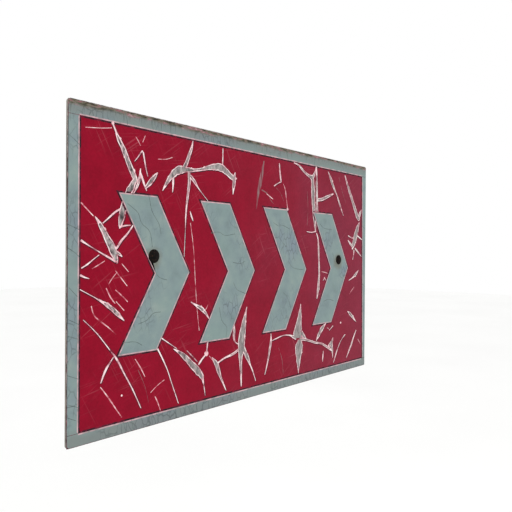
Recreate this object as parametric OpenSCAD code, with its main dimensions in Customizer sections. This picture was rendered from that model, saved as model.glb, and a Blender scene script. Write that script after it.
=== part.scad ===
// Rectangular hazard plate with four pointed symbols, backing rail and post clip.
// Millimetres. +Z is up, the sign faces -Y, the width runs along X.
// The origin is on the post's axis, at the height of the rail's centre line.

/* [Plate] */
// Width of the aluminium plate
plate_w = 750; // [500:5:1200]
// Height of the aluminium plate
plate_h = 450; // [300:5:700]
// Thickness of the aluminium plate
plate_t = 3; // [2:0.5:5]
// Corner radius of the plate
plate_r = 5; // [2:1:20]
// How far the plate's middle lies below the rail's centre line
plate_drop = 18; // [0:1:60]

/* [Sheeting] */
// Thickness of each layer of reflective film
film_t = 0.4; // [0.3:0.1:1]
// Gap from the plate's edge to the red sheeting's edge
sheet_gap = 1; // [0.5:0.5:4]
// Width of the border strips
strip_w = 16; // [8:1:40]
// Gap from the plate's edge to the side and bottom strips
strip_gap = 1; // [1:0.5:6]
// Gap from the plate's top edge to the top strip
strip_gap_top = 3.5; // [1:0.5:8]
// Extra width of the top strip at its right-hand end
strip_taper = 3.5; // [0:0.5:10]
// How much narrower the right-hand strip is at its foot
strip_right_taper = 6; // [0:0.5:7]
// Gap left at each butt seam of the border
strip_seam = 0.5; // [0.3:0.1:2]

/* [Symbols] */
// Height of the pointed symbols
chevron_h = 226; // [120:1:320]
// Width of one stroke, measured along X
chevron_w = 68; // [30:1:100]
// How far the point leads the stroke's ends
chevron_d = 64; // [20:1:120]
// Distance from one symbol to the next
chevron_pitch = 155; // [100:1:220]
// X of the right-hand symbol's point
chevron_tip = 300; // [200:1:350]
// Height of the symbols' middle above the plate's middle
chevron_z = -2.5; // [-40:0.5:40]

/* [Face bolts] */
// X of the left-hand face bolt
bolt_x_left = -235; // [-340:1:-100]
// Height of the left-hand face bolt above the rail's centre line
bolt_z_left = 4.5; // [-5:0.5:5]
// X of the right-hand face bolt
bolt_x_right = 262; // [100:1:340]
// Height of the right-hand face bolt above the rail's centre line
bolt_z_right = -3; // [-5:0.5:5]
// Shank radius of the face bolts
bolt_r = 5; // [4:0.5:6]
// Radius of a face bolt's cup head
cup_r = 10.3; // [8:0.1:13]
// Height of a face bolt's cup head
cup_h = 4.5; // [3:0.1:6]
// Width of the square neck under a cup head
neck_w = 10; // [8:0.5:12]
// Width across flats of a face bolt's nut
nut_af = 17; // [13:1:19]
// Height of a face bolt's nut
nut_h = 8.4; // [6:0.1:11]
// How far a face bolt's shank stands out of its nut
bolt_out = 2.2; // [1:0.1:3]
// Outer radius of the washer under a nut
nut_washer_r = 10; // [9:0.5:14]
// Thickness of the washer under a nut
nut_washer_t = 2; // [1:0.5:4]

/* [Rail] */
// Length of the rail
rail_len = 600; // [300:5:740]
// X of the rail's middle
rail_x = 12; // [-60:1:60]
// Height of the rail's section
rail_h = 41; // [38:1:60]
// Depth of the rail's section
rail_d = 21; // [20:1:40]
// Wall of the rail
rail_t = 2.5; // [1.5:0.5:4]
// Height of the rail's open slot
slot_h = 22; // [18:1:30]
// Depth of the lips turned in along the slot
lip_d = 4.5; // [3:0.5:5]
// Outer radius of the rail's bends
rail_bend = 3; // [3:0.5:6]
// Length of the web's slots between the centres of their round ends
web_slot = 12; // [10:1:14]
// Thickness of an end cap's lid
cap_t = 2.5; // [1.5:0.5:5]
// Length of an end cap's plug
plug_len = 12; // [6:1:14]
// Clearance round an end cap's plug
plug_gap = 0.4; // [0.2:0.1:1]

/* [Post clip] */
// Bore radius of the clip, which takes a 60.3 mm post
post_r = 30.25; // [20:0.25:60]
// Thickness of the strap
strap_t = 4; // [2:0.5:6]
// Height of the strap
strap_h = 32; // [20:1:60]
// X distance from the post's axis to each clip bolt
clip_x = 48; // [44:1:80]
// Width of each ear, centred on its bolt
ear_w = 26; // [22:1:30]
// Size of the crop at an ear's corners
ear_crop = 9; // [2:1:12]
// Radius of the bend between ear and leg
ear_bend = 2; // [1:0.5:4]
// Shank radius of the clip bolts
clip_r = 5; // [3:0.5:6]
// Width across flats of the clip nuts
clip_af = 17; // [10:1:19]
// Height of a clip nut
clip_nut_h = 8.4; // [5:0.1:10]
// Outer radius of a clip washer
clip_washer_r = 10; // [8:0.5:12]
// Thickness of a clip washer
clip_washer_t = 2; // [1:0.5:3]
// How far a clip bolt's shank stands out of its nut
clip_out = 4; // [2:0.5:10]
// Thickness of a hammer head
hammer_t = 6; // [4:0.5:8]
// Length of a hammer head, across the slot
hammer_l = 32; // [26:1:34]
// Width of a hammer head, along the rail
hammer_w = 14; // [10:1:20]
// Length of the square neck under a hammer head
clip_neck_l = 5; // [3:0.5:8]

/* [Hidden] */
$fn = 96;
eps = 0.05;
// The rail's rear face stands just clear of the post.
rail_back = -(post_r + 0.1);
rail_front = rail_back - rail_d;
web_in = rail_front + rail_t;
nut_back = web_in + nut_washer_t + nut_h;
plate_front = rail_front - plate_t;
sheet_front = plate_front - film_t;
film_front = sheet_front - film_t;
lip_end = rail_back - lip_d;
plate_z = -plate_drop;
// The border strips' edges, measured from the plate's middle.
strip_l = -plate_w / 2 + strip_gap;
strip_r = plate_w / 2 - strip_gap;
strip_top = plate_h / 2 - strip_gap_top;
strip_bot = -plate_h / 2 + strip_gap;
strip_bot_in = strip_bot + strip_w;
// The nuts' corner radii, the clearance holes and the ball that the cup heads are cut from.
nut_cr = nut_af / sqrt(3);
clip_cr = clip_af / sqrt(3);
neck_hole = neck_w + 0.6;
neck_gap = 0.2;
hole_r = bolt_r + 0.5;
clip_hole_r = clip_r + 0.5;
thread_gap = 0.05;
cup_ball = (cup_r * cup_r + cup_h * cup_h) / (2 * cup_h);
// The clip's ears lie in front of the post's axis, and the hammer heads sit just inside the lips.
ear_back = -22;
ear_front = ear_back - strap_t;
strap_ro = post_r + strap_t;
clip_nut_back = ear_back + clip_washer_t + clip_nut_h;
head_gap = 0.35;
red = "#93152b";
pale = "#8b9f9e";
metal = "#9a9a9c";
rust = "#3a2c24";
black = "#26272a";

// Height of the top strip's lower edge at x; it falls towards the right.
function top_in(x) = strip_top - strip_w - strip_taper * (x - strip_l) / (strip_r - strip_l);

// ---- helpers ----

// Turns a shape drawn in X and Z, with the extrusion running to -Y, into place at y.
module at_y(y) {
    translate([0, y, 0])
        rotate([90, 0, 0])
            children();
}

// Rounded rectangle about the middle.
module round_rect(w, h, r) {
    square([w - 2 * r, h], center = true);
    square([w, h - 2 * r], center = true);
    for (sx = [-1, 1], sz = [-1, 1])
        translate([sx * (w / 2 - r), sz * (h / 2 - r)])
            circle(r);
}

// Square holes for both face bolts' necks, drawn about the plate's middle.
module neck_holes() {
    translate([bolt_x_left, bolt_z_left - plate_z])
        square(neck_hole, center = true);
    translate([bolt_x_right, bolt_z_right - plate_z])
        square(neck_hole, center = true);
}

// Puts a layer that is drawn about the plate's middle at the right height.
module on_plate(y_back, t) {
    translate([0, 0, plate_z])
        at_y(y_back)
            linear_extrude(t)
                children();
}

// ---- plate and sheeting ----

// Aluminium plate with two punched holes.
module sign_plate() {
    color(metal)
        on_plate(rail_front, plate_t)
            difference() {
                round_rect(plate_w, plate_h, plate_r);
                neck_holes();
            }
}

// Red sheeting over the whole face.
module red_sheeting() {
    color(red)
        on_plate(plate_front, film_t)
            difference() {
                round_rect(plate_w - 2 * sheet_gap, plate_h - 2 * sheet_gap, plate_r - sheet_gap);
                neck_holes();
            }
}

// One border strip, kept inside the red sheeting's rounded corners.
module strip(points) {
    color(pale)
        on_plate(sheet_front, film_t)
            intersection() {
                polygon(points);
                round_rect(plate_w - 2 * sheet_gap, plate_h - 2 * sheet_gap, plate_r - sheet_gap);
            }
}

// Top strip over the full width, cut by hand, so it widens to the right.
module border_strip_top() {
    strip([
        [strip_l, strip_top],
        [strip_r, strip_top],
        [strip_r, top_in(strip_r)],
        [strip_l, top_in(strip_l)]
    ]);
}

// Bottom strip over the full width.
module border_strip_bottom() {
    strip([
        [strip_l, strip_bot],
        [strip_r, strip_bot],
        [strip_r, strip_bot_in],
        [strip_l, strip_bot_in]
    ]);
}

// Left strip, butted between the top and bottom strips.
module border_strip_left() {
    inner = strip_l + strip_w;
    strip([
        [strip_l, strip_bot_in + strip_seam],
        [inner, strip_bot_in + strip_seam],
        [inner, top_in(inner) - strip_seam],
        [strip_l, top_in(strip_l) - strip_seam]
    ]);
}

// Right strip, butted between the top and bottom strips and cut narrower towards its foot.
module border_strip_right() {
    inner = strip_r - strip_w;
    strip([
        [inner + strip_right_taper, strip_bot_in + strip_seam],
        [strip_r, strip_bot_in + strip_seam],
        [strip_r, top_in(strip_r) - strip_seam],
        [inner, top_in(inner) - strip_seam]
    ]);
}

// One right-pointing symbol; n counts from the left.
module chevron(n) {
    tip = chevron_tip - (4 - n) * chevron_pitch;
    half = chevron_h / 2;
    color(pale)
        on_plate(sheet_front, film_t)
            difference() {
                translate([tip, chevron_z])
                    polygon([
                        [0, 0], [-chevron_d, half], [-chevron_d - chevron_w, half], [-chevron_w, 0],
                        [-chevron_d - chevron_w, -half], [-chevron_d, -half]
                    ]);
                neck_holes();
            }
}

module chevron_1() {
    chevron(1);
}

module chevron_2() {
    chevron(2);
}

module chevron_3() {
    chevron(3);
}

module chevron_4() {
    chevron(4);
}

// ---- face bolts ----

// Cup head bolt from the face to the inside of the rail; its square neck keys it in the plate.
module face_bolt(x, z) {
    neck_l = rail_front - film_front - neck_gap;
    shank_end = nut_back + bolt_out;
    color(rust)
        translate([x, 0, z]) {
            intersection() {
                translate([0, film_front + cup_ball - cup_h, 0])
                    sphere(cup_ball);
                at_y(film_front)
                    cylinder(h = 2 * cup_h, r = 2 * cup_r);
            }
            translate([-neck_w / 2, film_front - eps, -neck_w / 2])
                cube([neck_w, neck_l + eps, neck_w]);
            at_y(shank_end)
                cylinder(h = shank_end - film_front + eps, r = bolt_r);
        }
}

module face_bolt_left() {
    face_bolt(bolt_x_left, bolt_z_left);
}

module face_bolt_right() {
    face_bolt(bolt_x_right, bolt_z_right);
}

// Flat ring with its rear face at y.
module ring(x, z, y, t, r_out, r_in) {
    translate([x, 0, z])
        at_y(y)
            linear_extrude(t)
                difference() {
                    circle(r_out);
                    circle(r_in);
                }
}

module rail_washer_left() {
    color(metal)
        ring(bolt_x_left, bolt_z_left, web_in + nut_washer_t, nut_washer_t, nut_washer_r, hole_r);
}

module rail_washer_right() {
    color(metal)
        ring(bolt_x_right, bolt_z_right, web_in + nut_washer_t, nut_washer_t, nut_washer_r, hole_r);
}

// Hexagon nut with its rear face at y and a bore that clears the shank.
module nut(x, z, y, h, cr, r_in) {
    color(metal)
        translate([x, 0, z])
            at_y(y)
                rotate([0, 0, 90])
                    difference() {
                        cylinder(h = h, r = cr, $fn = 6);
                        translate([0, 0, -1])
                            cylinder(h = h + 2, r = r_in);
                    }
}

module face_nut_left() {
    nut(bolt_x_left, bolt_z_left, nut_back, nut_h, nut_cr, bolt_r + thread_gap);
}

module face_nut_right() {
    nut(bolt_x_right, bolt_z_right, nut_back, nut_h, nut_cr, bolt_r + thread_gap);
}

// ---- rail ----

// The rail's section, x running from its open rear face to its web and y up.
module rail_section() {
    difference() {
        translate([rail_d / 2, 0])
            round_rect(rail_d, rail_h, rail_bend);
        translate([rail_t, -rail_h / 2 + rail_t])
            square([rail_d - 2 * rail_t, rail_h - 2 * rail_t]);
        translate([-1, -slot_h / 2])
            square([rail_t + 2, slot_h]);
    }
    for (z = [slot_h / 2, -slot_h / 2 - rail_t])
        translate([0, z])
            square([lip_d, rail_t]);
}

// Lipped channel, open to the rear, with an upright slot in the web for each face bolt.
module rail() {
    color(metal)
        difference() {
            translate([rail_x - rail_len / 2, rail_back, 0])
                rotate([90, 0, 90])
                    linear_extrude(rail_len)
                        mirror([1, 0])
                            rail_section();
            for (x = [bolt_x_left, bolt_x_right])
                translate([x, 0, 0])
                    at_y(rail_front + rail_t + 2)
                        linear_extrude(rail_t + 4) {
                            square([2 * hole_r, web_slot], center = true);
                            for (sz = [-1, 1])
                                translate([0, sz * web_slot / 2])
                                    circle(hole_r);
                        }
        }
}

// Moulded cap with a lid and a plug; side is -1 for the left-hand end.
module rail_cap(side) {
    x_end = rail_x + side * rail_len / 2;
    plug_h = rail_h - 2 * rail_t - 2 * plug_gap;
    color(black) {
        translate([side > 0 ? x_end : x_end - cap_t, rail_back, 0])
            rotate([90, 0, 90])
                linear_extrude(cap_t)
                    translate([-rail_d / 2, 0])
                        round_rect(rail_d, rail_h, rail_bend);
        translate([side > 0 ? x_end - plug_len : x_end - eps, web_in + plug_gap, -plug_h / 2])
            cube([plug_len + eps, lip_end - web_in - 2 * plug_gap, plug_h]);
    }
}

module rail_cap_left() {
    rail_cap(-1);
}

module rail_cap_right() {
    rail_cap(1);
}

// ---- post clip ----

// Outline of the strap, seen from above: a half round, two legs and two ears.
module strap_outline() {
    difference() {
        union() {
            circle(strap_ro);
            translate([-strap_ro, ear_front])
                square([2 * strap_ro, -ear_front]);
            translate([-clip_x - ear_w / 2, ear_front])
                square([2 * clip_x + ear_w, strap_t]);
            for (sx = [-1, 1])
                translate([sx * (strap_ro + ear_bend), ear_back + ear_bend])
                    difference() {
                        translate([sx > 0 ? -ear_bend - 1 : 0, -ear_bend - 1])
                            square(ear_bend + 1);
                        circle(ear_bend);
                    }
        }
        circle(post_r);
        translate([-post_r, ear_front - 1])
            square([2 * post_r, 1 - ear_front]);
        translate([-strap_ro - 1, -strap_ro - 1])
            square([2 * strap_ro + 2, strap_ro + 1 + ear_front]);
    }
}

// Half-round strap with a hole in each ear and its ears' outer corners cropped.
module clip_strap() {
    color(metal)
        difference() {
            translate([0, 0, -strap_h / 2])
                linear_extrude(strap_h)
                    strap_outline();
            for (sx = [-1, 1])
                translate([sx * clip_x, 0, 0])
                    at_y(ear_back + 1)
                        cylinder(h = strap_t + 2, r = clip_hole_r);
            for (sx = [-1, 1], sz = [-1, 1])
                translate([sx * (clip_x + ear_w / 2), 0, sz * strap_h / 2])
                    rotate([0, 45, 0])
                        cube([ear_crop, 4 * post_r, ear_crop], center = true);
        }
}

// Hammer-head bolt, its head behind the rail's lips and its shank running back through an ear.
module clip_bolt(x) {
    y_head = lip_end - head_gap;
    y_tip = clip_nut_back + clip_out;
    color(metal)
        translate([x, 0, 0]) {
            translate([-hammer_w / 2, y_head - hammer_t, -hammer_l / 2])
                cube([hammer_w, hammer_t, hammer_l]);
            translate([-clip_r, y_head - eps, -clip_r])
                cube([2 * clip_r, clip_neck_l, 2 * clip_r]);
            at_y(y_tip)
                cylinder(h = y_tip - y_head + eps, r = clip_r);
        }
}

module clip_bolt_left() {
    clip_bolt(-clip_x);
}

module clip_bolt_right() {
    clip_bolt(clip_x);
}

module clip_washer_left() {
    color(metal)
        ring(-clip_x, 0, ear_back + clip_washer_t, clip_washer_t, clip_washer_r, clip_hole_r);
}

module clip_washer_right() {
    color(metal)
        ring(clip_x, 0, ear_back + clip_washer_t, clip_washer_t, clip_washer_r, clip_hole_r);
}

module clip_nut_left() {
    nut(-clip_x, 0, clip_nut_back, clip_nut_h, clip_cr, clip_r + thread_gap);
}

module clip_nut_right() {
    nut(clip_x, 0, clip_nut_back, clip_nut_h, clip_cr, clip_r + thread_gap);
}

sign_plate();
red_sheeting();
border_strip_top();
border_strip_bottom();
border_strip_left();
border_strip_right();
chevron_1();
chevron_2();
chevron_3();
chevron_4();
face_bolt_left();
face_bolt_right();
rail();
rail_washer_left();
rail_washer_right();
face_nut_left();
face_nut_right();
rail_cap_left();
rail_cap_right();
clip_strap();
clip_bolt_left();
clip_bolt_right();
clip_washer_left();
clip_washer_right();
clip_nut_left();
clip_nut_right();
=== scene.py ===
import bmesh
import bpy
import math
import random
from mathutils import Matrix, Vector


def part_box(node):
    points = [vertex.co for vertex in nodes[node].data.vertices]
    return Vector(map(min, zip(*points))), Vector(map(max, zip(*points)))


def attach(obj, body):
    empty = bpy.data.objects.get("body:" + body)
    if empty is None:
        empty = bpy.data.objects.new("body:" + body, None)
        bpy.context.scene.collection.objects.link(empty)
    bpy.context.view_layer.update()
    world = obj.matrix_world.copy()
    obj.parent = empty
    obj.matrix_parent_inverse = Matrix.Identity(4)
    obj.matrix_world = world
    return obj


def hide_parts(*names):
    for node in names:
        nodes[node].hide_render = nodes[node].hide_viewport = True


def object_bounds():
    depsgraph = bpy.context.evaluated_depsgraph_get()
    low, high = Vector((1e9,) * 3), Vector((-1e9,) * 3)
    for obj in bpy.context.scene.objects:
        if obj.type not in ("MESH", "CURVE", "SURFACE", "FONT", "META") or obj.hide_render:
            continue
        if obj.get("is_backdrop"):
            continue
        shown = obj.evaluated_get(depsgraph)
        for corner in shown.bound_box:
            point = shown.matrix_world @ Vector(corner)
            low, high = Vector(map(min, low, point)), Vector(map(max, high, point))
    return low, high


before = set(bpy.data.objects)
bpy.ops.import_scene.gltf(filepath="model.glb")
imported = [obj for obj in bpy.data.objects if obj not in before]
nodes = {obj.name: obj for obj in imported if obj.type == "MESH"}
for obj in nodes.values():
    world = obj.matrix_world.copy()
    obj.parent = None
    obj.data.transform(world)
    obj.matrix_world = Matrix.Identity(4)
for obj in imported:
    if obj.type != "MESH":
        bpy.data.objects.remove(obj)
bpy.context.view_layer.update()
bpy.ops.object.select_all(action="DESELECT")
MM = 0.001


# ---------------------------------------------------------------------------------------------
# The plate: one sheet of rolled aluminium, sheared, with rounded corners and two punched square holes.
# Its bare back has dulled outdoors. Its front is bonded to the film, so where the film has torn off
# it shows a grey skin of old adhesive, and its sheared edge has gone brown.

def colour(code):
    """An sRGB hex code as linear red, green, blue and alpha."""
    parts = [int(code[i:i + 2], 16) / 255 for i in (1, 3, 5)]
    return tuple(p / 12.92 if p <= 0.04045 else ((p + 0.055) / 1.055) ** 2.4 for p in parts) + (1.0,)


def add(tree, kind, links=None, stops=None, **settings):
    """Adds a shader node, with its settings, its sockets' values or links, and a ramp's stops."""
    node = tree.nodes.new("ShaderNode" + kind)
    for key, value in settings.items():
        setattr(node, key, value)
    for key, value in (links or {}).items():
        if isinstance(value, bpy.types.NodeSocket):
            tree.links.new(value, node.inputs[key])
        else:
            node.inputs[key].default_value = value
    if stops:
        ramp = node.color_ramp
        while len(ramp.elements) < len(stops):
            ramp.elements.new(0.5)
        for element, (place, code) in zip(ramp.elements, stops):
            element.position = place
            element.color = colour(code)
    return node


def start_material(name, **values):
    """A new material, its tree and its shader, with the values that are the same all over."""
    material = bpy.data.materials.new(name)
    material.use_nodes = True
    tree = material.node_tree
    shader = tree.nodes["Principled BSDF"]
    for key, value in values.items():
        shader.inputs[key.replace("_", " ")].default_value = value
    return material, tree, shader


def dress(obj, *materials):
    """Puts these materials in the object's slots."""
    obj.data.materials.clear()
    for material in materials:
        obj.data.materials.append(material)


face_low, face_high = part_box("sign_plate")
plate_front = face_low.y
plate_back = face_high.y
plate_middle_z = (face_low.z + face_high.z) / 2
FINISH = 0.2 * MM  # how far the finish of the front and of the back reaches round the edge

# Rolled aluminium sheet: metal on the back and the edges, dull adhesive on the front.
aluminium, tree, shader = start_material("aluminium_sheet_rolled_weathered")
place = add(tree, "TexCoord").outputs["Object"]
split = add(tree, "SeparateXYZ", {0: place})
front = add(tree, "Math", {0: split.outputs["Y"], 1: plate_front + FINISH}, operation="LESS_THAN")
behind = add(tree, "Math", {0: split.outputs["Y"], 1: plate_back - FINISH}, operation="GREATER_THAN")
# Adhesive dragged upright in streaks about 4 mm wide, with specks of soot, thickest at the left.
streak_place = add(tree, "Mapping", {"Vector": place, "Scale": (1.0, 1.0, 0.35)})
streaks = add(tree, "TexNoise", {"Vector": streak_place.outputs[0], "Scale": 230.0, "Detail": 6.0,
                                 "Roughness": 0.68})
sooty = add(tree, "ValToRGB", {0: streaks.outputs["Fac"]},
            [(0.38, "#241e20"), (0.46, "#6b6363"), (0.53, "#968d8c"), (0.66, "#c6bbb9")])
clean = add(tree, "ValToRGB", {0: streaks.outputs["Fac"]},
            [(0.30, "#4a4344"), (0.42, "#7c7473"), (0.54, "#928a88"), (0.70, "#b4aaa8")])
rightward = add(tree, "MapRange", {"Value": split.outputs["X"], "From Min": -0.25, "From Max": -0.10})
glue = add(tree, "Mix", {"Factor": rightward.outputs[0], 6: sooty.outputs[0], 7: clean.outputs[0]},
           data_type="RGBA")
# Rolling lines under 1 mm apart, drawn about 2 mm apart, along X.
roll_place = add(tree, "Mapping", {"Vector": place, "Scale": (0.02, 1.0, 1.0)})
rolling = add(tree, "TexNoise", {"Vector": roll_place.outputs[0], "Scale": 420.0, "Detail": 4.0})
cloud = add(tree, "TexNoise", {"Vector": place, "Scale": 9.0, "Detail": 6.0, "Roughness": 0.6})
bare = add(tree, "ValToRGB", {0: rolling.outputs["Fac"]},
           [(0.35, "#a4a5a6"), (0.65, "#b2b3b3")])
# Rain has washed the chalk of its corrosion into upright runs 5 to 20 mm wide.
run_place = add(tree, "Mapping", {"Vector": place, "Scale": (1.0, 1.0, 0.08)})
runs = add(tree, "TexNoise", {"Vector": run_place.outputs[0], "Scale": 55.0, "Detail": 6.0})
washed = add(tree, "Math", {0: runs.outputs["Fac"], 1: cloud.outputs["Fac"]}, operation="ADD")
chalk = add(tree, "ValToRGB", {0: washed.outputs[0]},
            [(0.78, "#cfd0cf"), (0.95, "#eeefee"), (1.0, "#ffffff")])
back_skin = add(tree, "Mix", {"Factor": 0.9, 6: bare.outputs[0], 7: chalk.outputs[0]},
                data_type="RGBA", blend_type="MULTIPLY")
edge_skin = add(tree, "ValToRGB", {0: cloud.outputs["Fac"]}, [(0.4, "#5d564a"), (0.6, "#857d6f")])
sides = add(tree, "Mix", {"Factor": behind.outputs[0], 6: edge_skin.outputs[0], 7: back_skin.outputs[2]},
            data_type="RGBA")
skin = add(tree, "Mix", {"Factor": front.outputs[0], 6: sides.outputs[2], 7: glue.outputs[2]},
           data_type="RGBA")
tree.links.new(skin.outputs[2], shader.inputs["Base Color"])
metal = add(tree, "Math", {0: behind.outputs[0], 1: 0.85}, operation="MULTIPLY")
tree.links.new(metal.outputs[0], shader.inputs["Metallic"])
rough = add(tree, "MapRange", {"Value": cloud.outputs["Fac"], "To Min": 0.42, "To Max": 0.75})
tree.links.new(rough.outputs[0], shader.inputs["Roughness"])
dents = add(tree, "Bump", {"Height": streaks.outputs["Fac"], "Strength": 0.25, "Distance": 0.4 * MM})
tree.links.new(dents.outputs[0], shader.inputs["Normal"])
dress(nodes["sign_plate"], aluminium)


# ---------------------------------------------------------------------------------------------
# The red sheeting: retroreflective film bonded over the whole plate, gone brittle in the sun, so it
# has cracked in long fans and torn open in stars. It is cut here as the real one tore, stroke by
# stroke. A stroke is a row of points: x and z in mm from the plate's middle, and half the tear's width.

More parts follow.
